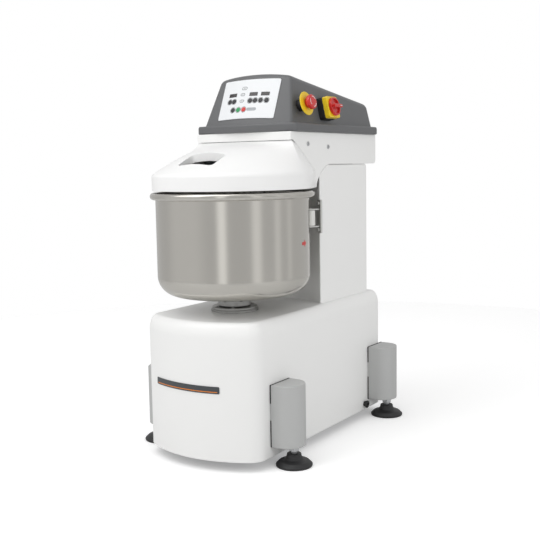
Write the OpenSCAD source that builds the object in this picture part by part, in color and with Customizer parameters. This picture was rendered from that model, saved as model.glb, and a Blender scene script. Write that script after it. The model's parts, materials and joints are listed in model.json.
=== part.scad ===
// Free-standing spiral dough mixer with a fixed head, a turning bowl and a hinged bowl guard.
// Millimetres. +Z up, front towards -Y. The origin is on the floor, under the middle of the
// machine's box. Parts are drawn about the bowl's axis and moved there by placed().

/* [Bowl] */
// Outer radius of the bowl wall
bowl_r = 200; // [198:0.5:201]
// Thickness of the bowl wall
bowl_wall = 3; // [2:0.5:4]
// Height of the underside of the bowl
bowl_bottom_z = 409; // [408:0.5:410]
// Height of the middle of the rolled rim
bowl_rim_z = 673; // [670:1:674]
// Radius of the rolled rim's bead
bowl_bead_r = 9; // [7:0.5:9]
// Radius of the bowl's bottom corner
bowl_corner_r = 52; // [40:1:60]

/* [Base] */
// Half of the base's width
base_half_w = 174; // [172:1:175]
// Radius of the curved front of the base
base_front_r = 300; // [290:5:320]
// Height of the flat top of the base
base_top_z = 370; // [368:1:371]
// Gap between the floor and the base's skirt
base_bottom_z = 25; // [20:1:35]
// Thickness of the painted covers
shell_wall = 4; // [3:0.5:4]

/* [Feet] */
// Distance of each foot from the middle plane
foot_x = 215; // [212:1:218]
// Radius of a foot pad
foot_r = 47; // [40:1:47]
// Radius of the threaded foot stem
stem_r = 8; // [6:0.5:10]

/* [Head] */
// Half of the width of the column and the head
head_half_w = 150; // [148:1:151]
// Height of the head's underside
head_bottom_z = 748; // [747:0.5:749]
// Height of the joint between head and top cover
head_top_z = 833; // [832:1:834]
// Backward lean of the front of the top cover, in degrees
face_lean = 22.5; // [20:0.5:25]
// Inward slope of the sides of the top cover, in degrees
side_lean = 12.3; // [10:0.1:13]

/* [Tools] */
// Radius of the path of the spiral
spiral_path_r = 61; // [56:1:66]
// Radius of the spiral's round bar
spiral_bar_r = 13; // [10:0.5:13]
// Turns of the spiral
spiral_turns = 1.3; // [1:0.1:1.6]

/* [Drive] */
// Radius of the pulley on the spiral shaft
spiral_pulley_r = 75; // [65:1:76]
// Radius of the pulley on the spiral motor
spiral_motor_pulley_r = 25; // [20:1:30]
// Radius of the pulley on the bowl shaft
bowl_pulley_r = 130; // [110:5:135]
// Radius of the pulley on the bowl motor
bowl_motor_pulley_r = 35; // [25:1:40]

/* [Hidden] */
KEYS = ["key_speed_1", "key_speed_2", "key_timer_up", "key_timer_down", "key_bowl_left",
    "key_bowl_right", "key_light", "key_start", "key_stop"];
CORNERS = ["front_right", "front_left", "rear_right", "rear_left"];

paint_white = [0.93, 0.93, 0.91];
cover_grey = [0.25, 0.26, 0.27];
steel = [0.68, 0.66, 0.62];
satin_grey = [0.7, 0.71, 0.7];
near_black = [0.09, 0.09, 0.1];
frame_grey = [0.45, 0.47, 0.5];
safety_yellow = [0.95, 0.8, 0.1];
safety_red = [0.8, 0.12, 0.1];

bowl_y = -160;
round_fn = 96;
running = 0.05;
eps = 0.01;
weld_gap = 0.1;

// Base
base_rear_y = 518;
base_front_y = -206;
base_corner_r = 45;
base_rear_corner_r = 32;
base_edge_w = 22;
base_edge_h = 39;
front_centre_y = base_front_y + base_front_r;
corner_x = base_half_w - base_corner_r;
corner_y = front_centre_y - sqrt(pow(base_front_r - base_corner_r, 2) - corner_x * corner_x);
corner_start = atan2(corner_y - front_centre_y, corner_x);
shaft_r = 20;
bowl_housing_r = 50;
gland_y = 403;
gland_z = 42;
gland_r = 8;

// Column, with a hollow front that follows the bowl
column_front_r = 244;
column_rear_y = 485;
column_corner_r = 25;
tube_half_w = 108;
tube_front_y = 268;
tube_rear_y = 458;
tube_wall = 6;
tube_gap = 4;

// Legs and feet
leg_y = [-59, 467];
leg_bottom_z = 52;
leg_top_z = 210;
leg_centre_x = 199;
leg_r = 44.5;
leg_wall = 3;
gasket_t = 4;
gasket_low = [52, 120];
gasket_high = [163, 210];
leg_plate_t = 12;
pad_edge_h = 7;
pad_neck_r = 20;
pad_neck_z = 32;
stem_bottom_z = 12;
stem_top_z = 150;
nut_r = 14;
nut_z = [38, 50];

// Head and bowl guard
head_front_y = 50;
head_rear_y = 528;
band_bottom_z = 812;
guard_r = 208;
guard_bottom_z = 687;
guard_band_z = 727;
guard_corner_y = 174;
guard_top_z = 810;
guard_back_y = 54;
guard_bulge = 18;
crease_top = [62, 810.5];
crease_rise = 1.5;
crease_low = [172, 732];
crease_gap = 1;
cheek_curve_y = 250;
cheek_step = 0.1;
cheek_gap = 0.4;
cheek_curve_power = 1.25;
corner_distance = norm([head_half_w, guard_corner_y]);
tangent_angle = atan2(guard_corner_y, head_half_w) - acos(guard_r / corner_distance);
straight_steps = 3;
round_steps = 40;
guard_steps = straight_steps + round_steps;
rise_steps = 5;
hinge_y = 43;
hinge_z = 796.5;
ear_r = 110;
skirt_r = 111;
hinge_pin_r = 4;
ear_plate_r = 5.5;
lug_x = 94;
lug_t = 8;
lug_r = 9;
pour_half_w = 54;
pour_front_y = -158;
pour_rear_y = -97;
pour_corner_r = 12;
pour_wall = 3;

// Steel frame of the head
head_plate_z = 752;
head_plate_t = 6;
frame_half_w = 138;
frame_front_y = 64;
frame_rear_y = 514;
frame_top_z = 827;
frame_wall = 4;
nose_half_w = 84;
nose_front_y = 12;
nose_top_z = 788;
nose_wall = 3;

// Top cover
cover_lip_top_z = 855;
lip_half_w = 160;
lip_front_y = 40;
lip_rear_y = 534;
lip_corner_r = 22;
face_front_y = 52;
face_r = 525;
cover_half_w = 140;
cover_rear_y = 529;
cover_peak_y = 108;
cover_peak_z = 990;
crown_r = 760;
top_slope = 8;
rear_lean = 5.5;
cover_reach = 700;

// Control panel, measured along the leaning face from the top of the lip
panel_half_w = 89;
panel_low = 17;
panel_high = 129.5;
panel_t = 2;
key_r = 6.5;
key_hole_r = 6.9;
key_low = 1;
key_high = 3.2;
// Place of each key: share of the panel's width from the left, and of its height from the top
key_places = [[0.172, 0.55], [0.254, 0.55], [0.547, 0.55], [0.634, 0.55], [0.73, 0.55],
    [0.83, 0.55], [0.264, 0.77], [0.364, 0.77], [0.464, 0.77]];
window_places = [[0.21, 0.385], [0.587, 0.385], [0.789, 0.385]];
window_w = 26;
window_h = 11;
window_t = 0.8;
board_w = 150;
board_h = 84;
board_depth = 14;

// Switches on the right side of the top cover
e_stop_y = 126.5;
e_stop_z = 901;
collar_r = 16;
collar_h = 21;
ring_r = 31;
ring_t = 3;
mushroom_r = 19;
mushroom_cone_h = 5;
mushroom_h = 15;
mushroom_neck_r = 11;
e_stop_gap = 5;
switch_y = 250;
switch_z = 895;
switch_size = 58;
switch_box_h = 18;
switch_plate_h = 14;
knob_r = 25;
knob_h = 8;
grip_h = 14;
grip_t = 9;

// Guide rollers that steady the bowl
roller_angle = 50;
roller_r = 13;
roller_centre_r = 214;
roller_low_z = 585;
roller_high_z = 626;
roller_pin_r = 4;
bracket_low_z = 564;
bracket_high_z = 654;
bracket_w = 26;
bracket_bolt_z = [574, 644];

// Bowl and its drive
bowl_flat_r = 62;
bowl_inner_r = bowl_r - bowl_corner_r;
corner_low_z = bowl_bottom_z + 6;
corner_top_z = corner_low_z + bowl_corner_r;
hub_low_z = 384;
hub_r = 44;
hub_flange_r = 58;
flange_r = 62.5;
bowl_shaft_z = [190, 405];
bowl_pulley_z = 200;
pulley_t = 24;
housing_low_z = 270;
motor_y = 363;
bowl_motor_r = 64;
bowl_motor_z = [44, 188];
motor_shaft_r = 12;

// Spiral drive
spiral_y = 100;
spiral_low_z = 451;
spiral_top_z = 652;
spiral_hub_r = 30;
spiral_hub_z = [638, 682];
spiral_shaft_z = [642, 780];
spiral_housing_r = 42;
spiral_housing_z = [692, 759];
spiral_pulley_z = 760;
spiral_pulley_t = 19;
spiral_rings = 56;
spiral_sides = 12;
spiral_motor_r = 76;
spiral_motor_z = [512, 752];
belt_t = 4;
belt_gap = 0.3;
bar_y = -12;
bar_r = 12;
bar_low_z = 428;

// Name plate on the curved front, blank
plate_angle = -93;
plate_span = 40;
plate_z = [196, 214];
plate_t = 1.5;

function arc(cx, cy, r, a, b, n) =
    [for (i = [0 : n]) [cx + r * cos(a + (b - a) * i / n), cy + r * sin(a + (b - a) * i / n)]];

function lerp(a, b, t) = a + (b - a) * t;

// Outline of the base, moved inwards by inset
function base_outline(inset) = concat(
    arc(corner_x, corner_y, base_corner_r - inset, corner_start, 0, 8),
    arc(base_half_w - base_rear_corner_r, base_rear_y - base_rear_corner_r,
        base_rear_corner_r - inset, 0, 90, 6),
    arc(base_rear_corner_r - base_half_w, base_rear_y - base_rear_corner_r,
        base_rear_corner_r - inset, 90, 180, 6),
    arc(-corner_x, corner_y, base_corner_r - inset, 180, 180 - corner_start, 8),
    [for (i = [1 : 15])
        let (a = lerp(-180 - corner_start, corner_start, i / 16))
        [(base_front_r - inset) * cos(a),
         front_centre_y + (base_front_r - inset) * sin(a)]]);

// Inset and height of each ring of the base, with a rounded top edge
function base_levels(inset, low_z) = concat(
    [[inset, low_z]],
    [for (i = [0 : 6])
        let (a = 15 * i)
        [inset + base_edge_w * (1 - cos(a)),
         base_top_z - inset - base_edge_h * (1 - sin(a))]]);

// Closed skin through rings that all have the same number of points
module loft(rings) {
    n = len(rings[0]);
    last = len(rings) - 1;
    points = [for (ring = rings) each ring];
    low_cap = [[for (i = [0 : n - 1]) i]];
    high_cap = [[for (i = [n - 1 : -1 : 0]) last * n + i]];
    sides = [for (k = [0 : last - 1]) for (i = [0 : n - 1])
        [k * n + i, (k + 1) * n + i, (k + 1) * n + (i + 1) % n, k * n + (i + 1) % n]];
    polyhedron(points, concat(low_cap, sides, high_cap), convexity = 8);
}

module base_solid(inset, low_z)
    loft([for (level = base_levels(inset, low_z))
        [for (p = base_outline(level[0])) [p.x, p.y, level[1]]]]);

module placed() translate([0, bowl_y, 0]) children();

// Both sides of the machine
module both_sides() {
    children();
    mirror([1, 0, 0]) children();
}

module rounded_rect(x0, y0, x1, y1, r) {
    translate([x0 + r, y0]) square([x1 - x0 - 2 * r, y1 - y0]);
    translate([x0, y0 + r]) square([x1 - x0, y1 - y0 - 2 * r]);
    for (x = [x0 + r, x1 - r], y = [y0 + r, y1 - r])
        translate([x, y]) circle(r = r, $fn = 48);
}

module box(low, high) translate(low) cube(high - low);

// A profile in the YZ plane, carried along X
module across(x0, x1)
    translate([x0, 0, 0]) rotate([90, 0, 90]) linear_extrude(x1 - x0) children();

// ---- Base ----

module base_shell() color(paint_white) placed() difference() {
    base_solid(0, base_bottom_z);
    base_solid(shell_wall, base_bottom_z - 1);
    translate([0, 0, base_top_z - 20])
        cylinder(r = bowl_housing_r + 1, h = 30, $fn = round_fn);
    box([-tube_half_w - tube_gap, tube_front_y - tube_gap, base_top_z - 20],
        [tube_half_w + tube_gap, tube_rear_y + tube_gap, base_top_z + 10]);
    translate([base_half_w - 10, gland_y, gland_z]) rotate([0, 90, 0])
        cylinder(r = gland_r + running, h = 20, $fn = 48);
}

module base_frame() color(frame_grey) placed() {
    side_x = 148;
    side_t = 8;
    top_z = 350;
    low_z = 30;
    front = -130;
    rear = 480;
    difference() {
        box([-side_x, front, low_z], [side_x, rear, top_z]);
        box([side_t - side_x, front - 1, low_z + side_t],
            [side_x - side_t, rear + 1, top_z - side_t]);
        translate([0, 0, top_z - 20])
            cylinder(r = bowl_housing_r + 1, h = 30, $fn = round_fn);
        box([-tube_half_w + tube_wall, tube_front_y + tube_wall, top_z - 20],
            [tube_half_w - tube_wall, tube_rear_y - tube_wall, top_z + 10]);
    }
}

module leg(x_side, y) color(satin_grey) placed() mirror([x_side < 0 ? 1 : 0, 0, 0])
    translate([0, y, 0]) difference() {
        union() {
            leg_block(0, leg_bottom_z, leg_top_z, base_half_w + gasket_t);
            leg_block(0, gasket_low[1], gasket_high[0], base_half_w + 0.2);
        }
        leg_block(leg_wall, leg_bottom_z + leg_plate_t, leg_top_z - leg_wall,
            base_half_w + gasket_t + leg_wall);
        translate([foot_x, 0, leg_bottom_z - 1])
            cylinder(r = stem_r + running, h = leg_plate_t + 2, $fn = 48);
    }

// D-shaped block: flat against the base, half round outside
module leg_block(inset, low_z, high_z, inner_x)
    translate([0, 0, low_z]) linear_extrude(high_z - low_z) intersection() {
        union() {
            translate([leg_centre_x, 0]) circle(r = leg_r - inset, $fn = round_fn);
            translate([inner_x, inset - leg_r])
                square([leg_centre_x - inner_x, 2 * (leg_r - inset)]);
        }
        translate([inner_x, -leg_r]) square(2 * leg_r);
    }

module leg_gaskets() color(near_black) placed() both_sides()
    for (y = leg_y, z = [gasket_low, gasket_high])
        box([base_half_w + 0.2, y - leg_r, z[0]], [base_half_w + gasket_t, y + leg_r, z[1]]);

module foot_pad(x_side, y) color(near_black) placed()
    translate([x_side * foot_x, y, 0]) rotate_extrude($fn = round_fn) difference() {
        polygon([[0, 0], [foot_r, 0], [foot_r, pad_edge_h], [foot_r - 8, pad_edge_h + 6],
            [pad_neck_r + 4, pad_edge_h + 11], [pad_neck_r, pad_edge_h + 15],
            [pad_neck_r - 2, pad_neck_z], [0, pad_neck_z]]);
        translate([-1, stem_bottom_z]) square([1 + stem_r + running, 40]);
    }

module foot_stem(x_side, y) color(steel) placed() translate([x_side * foot_x, y, 0]) {
    translate([0, 0, stem_bottom_z + 0.1])
        cylinder(r = stem_r, h = stem_top_z - stem_bottom_z, $fn = 48);
    translate([0, 0, nut_z[0]]) cylinder(r = nut_r, h = nut_z[1] - nut_z[0], $fn = 6);
}

module cable_gland() color(near_black) placed() translate([base_half_w, gland_y, gland_z])
    rotate([0, 90, 0]) difference() {
        union() {
            translate([0, 0, -14]) cylinder(r = gland_r, h = 16, $fn = 48);
            translate([0, 0, 0.2]) cylinder(r = gland_r + 5, h = 8, $fn = 6);
            translate([0, 0, -12]) cylinder(r = gland_r + 5, h = 7, $fn = 6);
        }
        translate([0, 0, -20]) cylinder(r = 4.5, h = 40, $fn = 32);
    }

module name_plate() color(cover_grey) placed() translate([0, front_centre_y, plate_z[0]])
    rotate([0, 0, plate_angle - plate_span / 2])
        rotate_extrude(angle = plate_span, $fn = 128)
            translate([base_front_r + 0.2, 0]) square([plate_t, plate_z[1] - plate_z[0]]);

// ---- Column ----

module column_outline(inset) difference() {
    rounded_rect(inset - head_half_w, 0, head_half_w - inset, column_rear_y - inset,
        column_corner_r - inset);
    circle(r = column_front_r + inset, $fn = 160);
}

module column_shell() color(paint_white) placed() difference() {
    translate([0, 0, base_top_z]) linear_extrude(head_bottom_z - base_top_z) difference() {
        column_outline(0);
        column_outline(shell_wall);
    }
    both_sides() across(head_half_w - shell_wall - cheek_gap, head_half_w + 1)
        for (shift = [0, cheek_gap]) translate([shift, -shift]) polygon(cheek_outline());
}

module column_frame() color(frame_grey) placed() translate([0, 0, 350])
    linear_extrude(head_plate_z - 350) difference() {
        translate([-tube_half_w, tube_front_y])
            square([2 * tube_half_w, tube_rear_y - tube_front_y]);
        translate([tube_wall - tube_half_w, tube_front_y + tube_wall])
            square([2 * (tube_half_w - tube_wall), tube_rear_y - tube_front_y - 2 * tube_wall]);
    }

module roller_mount(side)
    rotate([0, 0, side > 0 ? roller_angle : 180 - roller_angle]) children();

module roller_brackets() color(satin_grey) placed() for (side = [1, -1]) roller_mount(side) {
    plate = [238, 243.4];
    arm_t = 4;
    box([plate[0], -bracket_w / 2, bracket_low_z], [plate[1], bracket_w / 2, bracket_high_z]);
    for (z = [roller_low_z - arm_t - 0.5, roller_high_z + 0.5])
        box([roller_centre_r - 7, -9, z], [plate[0] + eps, 9, z + arm_t]);
    translate([roller_centre_r, 0, roller_low_z - arm_t])
        cylinder(r = roller_pin_r, h = roller_high_z - roller_low_z + 2 * arm_t, $fn = 32);
    for (z = bracket_bolt_z)
        translate([plate[0] - 4, 0, z]) rotate([0, 90, 0]) cylinder(r = 5.5, h = 4.5, $fn = 32);
}

module roller(side) color([0.92, 0.92, 0.9]) placed() roller_mount(side)
    translate([roller_centre_r, 0, roller_low_z]) difference() {
        cylinder(r = roller_r, h = roller_high_z - roller_low_z, $fn = 64);
        translate([0, 0, -1])
            cylinder(r = roller_pin_r + running, h = roller_high_z, $fn = 32);
    }

// ---- Bowl guard and head ----

// Lower edge of the guard: straight from the rear corner to the round, then half the round
function guard_low(k) = k < straight_steps
    ? lerp([head_half_w, guard_corner_y],
        guard_r * [cos(tangent_angle), sin(tangent_angle)], k / straight_steps)
    : let (a = guard_angle(k)) guard_r * [cos(a), sin(a)];

function guard_angle(k) = lerp(tangent_angle, -90, max(0, k - straight_steps) / round_steps);

// How far round the front a section is, from 0 at the side to 1 at the middle
function guard_turn(k) =
    max(0, (max(0, k - straight_steps) / round_steps - 0.15) / 0.85);

// Upper edge of the guard: down the crease of the cheek, then along the head's front
function guard_high(k) = k < straight_steps
    ? let (p = lerp(crease_low, crease_top, k / straight_steps)) [head_half_w, p[0], p[1]]
    : [head_half_w * (1 - guard_turn(k)), guard_back_y, guard_top_z];

function guard_skin(k, inset) =
    let (a = guard_angle(k))
    let (low = guard_low(k) - inset * [cos(a), sin(a)])
    let (top = guard_high(k))
    let (high = [top[0] * (1 - inset / head_half_w), top[1], top[2] - inset])
    let (bulge = guard_bulge * pow(guard_turn(k), 0.7))
    [for (i = [0 : rise_steps])
        let (t = i / rise_steps)
        lerp([low[0], low[1], guard_band_z - inset], high, t)
            + [0, 0, 4 * bulge * t * (1 - t)]];

function mirrored(points) = [for (p = points) [-p[0], p[1], p[2]]];

// Closed section of the guard's wall
function guard_wall(k) =
    let (outer = guard_skin(k, 0), inner = guard_skin(k, shell_wall))
    concat([[outer[0][0], outer[0][1], guard_bottom_z]], outer,
        [for (i = [rise_steps : -1 : 0]) inner[i]],
        [[inner[0][0], inner[0][1], guard_bottom_z]]);

// Closed section of everything under the guard's outer skin
function guard_full(k) =
    let (outer = guard_skin(k, 0), last = outer[rise_steps])
    concat([[outer[0][0], outer[0][1], guard_bottom_z]], outer,
        [[last[0], last[1], guard_bottom_z]]);

module guard_wall_solid() loft(concat([for (k = [0 : guard_steps]) guard_wall(k)],
    [for (k = [guard_steps - 1 : -1 : 0]) mirrored(guard_wall(k))]));

module guard_full_solid() loft(concat([for (k = [0 : guard_steps]) guard_full(k)],
    [for (k = [guard_steps - 1 : -1 : 0]) mirrored(guard_full(k))]));

module hinge_cylinder(r) translate([-260, hinge_y, hinge_z]) rotate([0, 90, 0])
    cylinder(r = r, h = 520, $fn = 128);

// Everything above the crease of the cheeks, which the guard stays clear of
module cheek_zone(gap) across(-170, 170) polygon([
    [head_front_y - 8, band_bottom_z - gap], [crease_top[0], crease_top[1] + crease_rise - gap],
    [crease_low[0], crease_low[1] - gap], [crease_low[0] + 60, crease_low[1] - gap],
    [crease_low[0] + 60, 860], [head_front_y - 8, 860]]);

module pour_outline(grow) rounded_rect(-pour_half_w - grow, pour_front_y - grow,
    pour_half_w + grow, pour_rear_y + grow, pour_corner_r + grow);

module lid() color(paint_white) placed() {
    difference() {
        intersection() {
            guard_wall_solid();
            union() {
                box([-230, -230, 600], [230, head_front_y - 3.5, 900]);
                hinge_cylinder(ear_r);
            }
        }
        cheek_zone(crease_gap);
        translate([0, 0, 600]) linear_extrude(300) pour_outline(0);
    }
    intersection() {
        translate([0, 0, 600]) linear_extrude(300) difference() {
            pour_outline(pour_wall);
            pour_outline(0);
        }
        guard_full_solid();
        across(-100, 100) polygon([[pour_front_y - 10, guard_band_z - 9],
            [pour_rear_y + 10, guard_band_z + 29], [pour_rear_y + 10, 900],
            [pour_front_y - 10, 900]]);
    }
    both_sides() difference() {
        across(lug_x, lug_x + lug_t) translate([hinge_y, hinge_z]) {
            circle(r = lug_r, $fn = 48);
            polygon([[-lug_r, 0], [8, 0], [8, 10], [-10, 6], [-16, 5]]);
        }
        translate([lug_x - 1, hinge_y, hinge_z]) rotate([0, 90, 0])
            cylinder(r = hinge_pin_r + running, h = lug_t + 2, $fn = 48);
    }
}

// Side view of a cheek: crease, front corner, swept underside, rear
function cheek_outline() = concat(
    [[head_front_y, head_top_z], [head_front_y, band_bottom_z],
     [crease_top[0], crease_top[1] + crease_rise], crease_low, [guard_corner_y - 1, guard_bottom_z]],
    [for (i = [0 : 10])
        let (a = 9 * i)
        [cheek_curve_y - (cheek_curve_y - guard_corner_y - 4) * pow(cos(a), cheek_curve_power),
         guard_bottom_z + (head_bottom_z - guard_bottom_z) * pow(sin(a), cheek_curve_power)]],
    arc(head_rear_y - 12, head_bottom_z + 12, 12, 270, 360, 6),
    [[head_rear_y, head_top_z]]);

module head_shell() color(paint_white) placed() {
    both_sides() across(head_half_w - shell_wall + cheek_step, head_half_w - cheek_step)
        polygon(cheek_outline());
    difference() {
        guard_wall_solid();
        hinge_cylinder(skirt_r);
        box([-230, -230, 600], [230, 60, 900]);
    }
    box([-head_half_w, head_front_y, band_bottom_z],
        [head_half_w, head_front_y + shell_wall, head_top_z]);
    box([-head_half_w, head_rear_y - shell_wall, head_bottom_z + 12],
        [head_half_w, head_rear_y, head_top_z]);
    difference() {
        box([-head_half_w, cheek_curve_y, head_bottom_z],
            [head_half_w, head_rear_y - 12, head_bottom_z + shell_wall]);
        box([-tube_half_w - tube_gap, tube_front_y - tube_gap, head_bottom_z - 1],
            [tube_half_w + tube_gap, tube_rear_y + tube_gap, head_bottom_z + 10]);
    }
    intersection() {
        across(-head_half_w, head_half_w) difference() {
            translate([head_rear_y - 12, head_bottom_z + 12]) circle(r = 12, $fn = 48);
            translate([head_rear_y - 12, head_bottom_z + 12])
                circle(r = 12 - shell_wall, $fn = 48);
        }
        box([-head_half_w, head_rear_y - 12, head_bottom_z],
            [head_half_w, head_rear_y, head_bottom_z + 12]);
    }
}

module head_screws() color(steel) placed() both_sides() for (p = [[135, 802], [241, 795]])
    translate([head_half_w + 0.1, p[0], p[1]]) rotate([0, 90, 0])
        cylinder(r = 6, h = 2.4, $fn = 32);

module head_frame() color(frame_grey) placed() {
    difference() {
        union() {
            box([-frame_half_w, frame_front_y, head_plate_z],
                [frame_half_w, frame_rear_y, frame_top_z]);
            box([-nose_half_w, nose_front_y, head_plate_z],
                [nose_half_w, frame_front_y + 1, nose_top_z]);
        }
        box([frame_wall - frame_half_w, frame_front_y + frame_wall, head_plate_z + head_plate_t],
            [frame_half_w - frame_wall, frame_rear_y - frame_wall, frame_top_z + 10]);
        box([nose_wall - nose_half_w, nose_front_y + nose_wall, head_plate_z + head_plate_t],
            [nose_half_w - nose_wall, frame_front_y + frame_wall + 1, nose_top_z - nose_wall]);
        translate([0, spiral_y, head_plate_z - 1])
            cylinder(r = spiral_housing_r + 0.5, h = head_plate_t + 2, $fn = round_fn);
        translate([0, motor_y, head_plate_z - 1]) cylinder(r = 30, h = 20, $fn = round_fn);
    }
    both_sides() {
        across(lug_x - 6, lug_x - 1) translate([hinge_y, hinge_z]) {
            circle(r = ear_plate_r, $fn = 48);
            polygon([[-ear_plate_r, 0], [ear_plate_r, -2], [21.5, -20], [21.5, -36],
                [-ear_plate_r, -34]]);
        }
        translate([lug_x - 3, hinge_y, hinge_z]) rotate([0, 90, 0])
            cylinder(r = hinge_pin_r, h = lug_t + 5, $fn = 48);
    }
}

// ---- Top cover and controls ----

// Frame of the leaning front: X across, Y inwards, Z up the face from the lip
module on_face() translate([0, face_front_y, cover_lip_top_z]) rotate([-face_lean, 0, 0])
    children();

// A place on the curved face: share across and share down of the panel; Z points outwards
module at_panel(place) {
    across_mm = lerp(-panel_half_w, panel_half_w, place[0]);
    on_face() translate([0, face_r, lerp(panel_high, panel_low, place[1])])
        rotate([0, 0, across_mm / face_r * 180 / PI])
            translate([0, -face_r, 0]) rotate([90, 0, 0]) children();
}

module cover_body(inset, low_z) intersection() {
    on_face() translate([0, face_r, -100])
        cylinder(r = face_r - inset, h = 400, $fn = 200);
    translate([0, cover_peak_y, cover_peak_z]) rotate([-90 - top_slope, 0, 0])
        translate([0, crown_r, -300]) cylinder(r = crown_r - inset, h = 900, $fn = 200);
    translate([0, -60, cover_lip_top_z]) rotate([90, 0, 180]) linear_extrude(cover_reach)
        polygon([for (p = [[-1, low_z], [1, low_z], [1, 1050], [-1, 1050]])
            [p[0] * (cover_half_w - inset / cos(side_lean)
                - (p[1] - cover_lip_top_z) * tan(side_lean)), p[1] - cover_lip_top_z]]);
    across(-lip_half_w, lip_half_w) polygon([for (p = [[0, low_z], [1, low_z], [1, 1050],
        [0, 1050]]) [p[0] * (cover_rear_y - inset - (p[1] - cover_lip_top_z) * tan(rear_lean)),
        p[1]]]);
}

module lip_outline(inset) intersection() {
    translate([0, lip_front_y + face_r]) circle(r = face_r - inset, $fn = 240);
    rounded_rect(inset - lip_half_w, lip_front_y - 30, lip_half_w - inset, lip_rear_y - inset,
        lip_corner_r);
}

module top_cover() color(cover_grey) placed() difference() {
    union() {
        translate([0, 0, head_top_z]) linear_extrude(cover_lip_top_z - head_top_z)
            lip_outline(0);
        cover_body(0, cover_lip_top_z - 5);
    }
    translate([0, 0, head_top_z - 1])
        linear_extrude(cover_lip_top_z - head_top_z - shell_wall + 1) lip_outline(14);
    cover_body(shell_wall, cover_lip_top_z - 10);
}

module panel_strip(low, high, half_w, from_z, to_z)
    on_face() translate([0, face_r, from_z])
        rotate([0, 0, -90 - half_w / face_r * 180 / PI])
            rotate_extrude(angle = 2 * half_w / face_r * 180 / PI, $fn = 240)
                translate([face_r + low, 0]) square([high - low, to_z - from_z]);

module control_panel() color(paint_white) placed() difference() {
    panel_strip(0.1, panel_t, panel_half_w, panel_low, panel_high);
    for (place = key_places) at_panel(place) cylinder(r = key_hole_r, h = 10, $fn = 48);
    for (place = window_places) at_panel(place) translate([0, 0, panel_t + 4.5])
        cube([window_w, window_h, 10], center = true);
}

module display_windows() color(near_black) placed() for (place = window_places)
    at_panel(place) translate([0, 0, panel_t - 0.4 + window_t / 2])
        cube([window_w - 0.4, window_h - 0.4, window_t], center = true);

module key(i) placed() at_panel(key_places[i]) translate([0, 0, key_low])
    cylinder(r = key_r, h = key_high - key_low, $fn = 48);

function key_colour(i) = i == 7 ? [0.1, 0.6, 0.3] : i == 8 ? [0.85, 0.2, 0.15] : near_black;

module circuit_board() color([0.1, 0.4, 0.2]) placed() on_face() {
    middle = (panel_low + panel_high) / 2 - 4;
    translate([0, board_depth + 4, middle]) cube([board_w, 2, board_h], center = true);
    translate([0, board_depth + 9, middle - 18]) cube([40, 8, 24], center = true);
    for (x = [-50, 50])
        translate([x, board_depth + 12, middle + 16]) cube([22, 14, 18], center = true);
}

// A place on the right side of the top cover; Z points outwards
module on_side(y, z) translate([cover_half_w - (z - cover_lip_top_z) * tan(side_lean), y, z])
    rotate([0, 90 - side_lean, 0]) children();

module e_stop_collar() color(near_black) placed() on_side(e_stop_y, e_stop_z)
    translate([0, 0, 0.2]) difference() {
        cylinder(r = collar_r, h = collar_h, $fn = 64);
        translate([0, 0, 3]) cylinder(r = mushroom_neck_r + 0.3, h = 40, $fn = 64);
    }

module e_stop_ring() color(safety_yellow) placed() on_side(e_stop_y, e_stop_z)
    translate([0, 0, 0.2 + collar_h]) difference() {
        cylinder(r = ring_r, h = ring_t, $fn = round_fn);
        translate([0, 0, -1]) cylinder(r = mushroom_neck_r + 0.3, h = 10, $fn = 64);
    }

module e_stop_button() color(safety_red) placed() on_side(e_stop_y, e_stop_z) {
    foot = collar_h + ring_t + e_stop_gap;
    translate([0, 0, 9]) cylinder(r = mushroom_neck_r, h = foot - 8, $fn = 64);
    translate([0, 0, foot])
        cylinder(r1 = mushroom_r - 3, r2 = mushroom_r, h = mushroom_cone_h, $fn = 64);
    translate([0, 0, foot + mushroom_cone_h])
        cylinder(r = mushroom_r, h = mushroom_h - mushroom_cone_h, $fn = 64);
}

module square_block(size, r, h) linear_extrude(h)
    rounded_rect(-size / 2, -size / 2, size / 2, size / 2, r);

module switch_box() color(near_black) placed() on_side(switch_y, switch_z)
    translate([0, 0, 0.2]) square_block(switch_size + 2, 8, switch_box_h);

module switch_plate() color(safety_yellow) placed() on_side(switch_y, switch_z)
    translate([0, 0, 0.2 + switch_box_h]) difference() {
        square_block(switch_size, 6, switch_plate_h);
        translate([0, 0, 4]) cylinder(r = 9.05, h = 40, $fn = 64);
    }

module switch_knob() color(safety_red) placed() on_side(switch_y, switch_z)
    translate([0, 0, 0.2 + switch_box_h]) {
        translate([0, 0, 4.3]) cylinder(r = 9, h = switch_plate_h, $fn = 64);
        translate([0, 0, switch_plate_h + 0.4]) difference() {
            cylinder(r = knob_r, h = knob_h, $fn = round_fn);
            translate([0, 0, knob_h - 5]) cylinder(r = knob_r - 5, h = 20, $fn = round_fn);
        }
        translate([-grip_t / 2, 4 - knob_r, switch_plate_h + 4])
            cube([grip_t, 2 * knob_r - 8, grip_h]);
    }

// ---- Bowl and its drive ----

// The bowl is welded from a bottom, a rounded ring, a straight wall and a rolled rim
module bottom_profile() polygon([[0, bowl_bottom_z], [bowl_flat_r, bowl_bottom_z],
    [bowl_inner_r - weld_gap, corner_low_z], [bowl_inner_r - weld_gap, corner_low_z + bowl_wall],
    [bowl_flat_r, bowl_bottom_z + bowl_wall], [0, bowl_bottom_z + bowl_wall]]);

module corner_profile() intersection() {
    translate([bowl_inner_r, corner_top_z]) difference() {
        circle(r = bowl_corner_r, $fn = 96);
        circle(r = bowl_corner_r - bowl_wall, $fn = 96);
    }
    translate([bowl_inner_r, corner_low_z]) square(bowl_corner_r);
}

module wall_profile() translate([bowl_r - bowl_wall, corner_top_z + weld_gap])
    square([bowl_wall, bowl_rim_z - bowl_bead_r - corner_top_z - weld_gap]);

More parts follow.
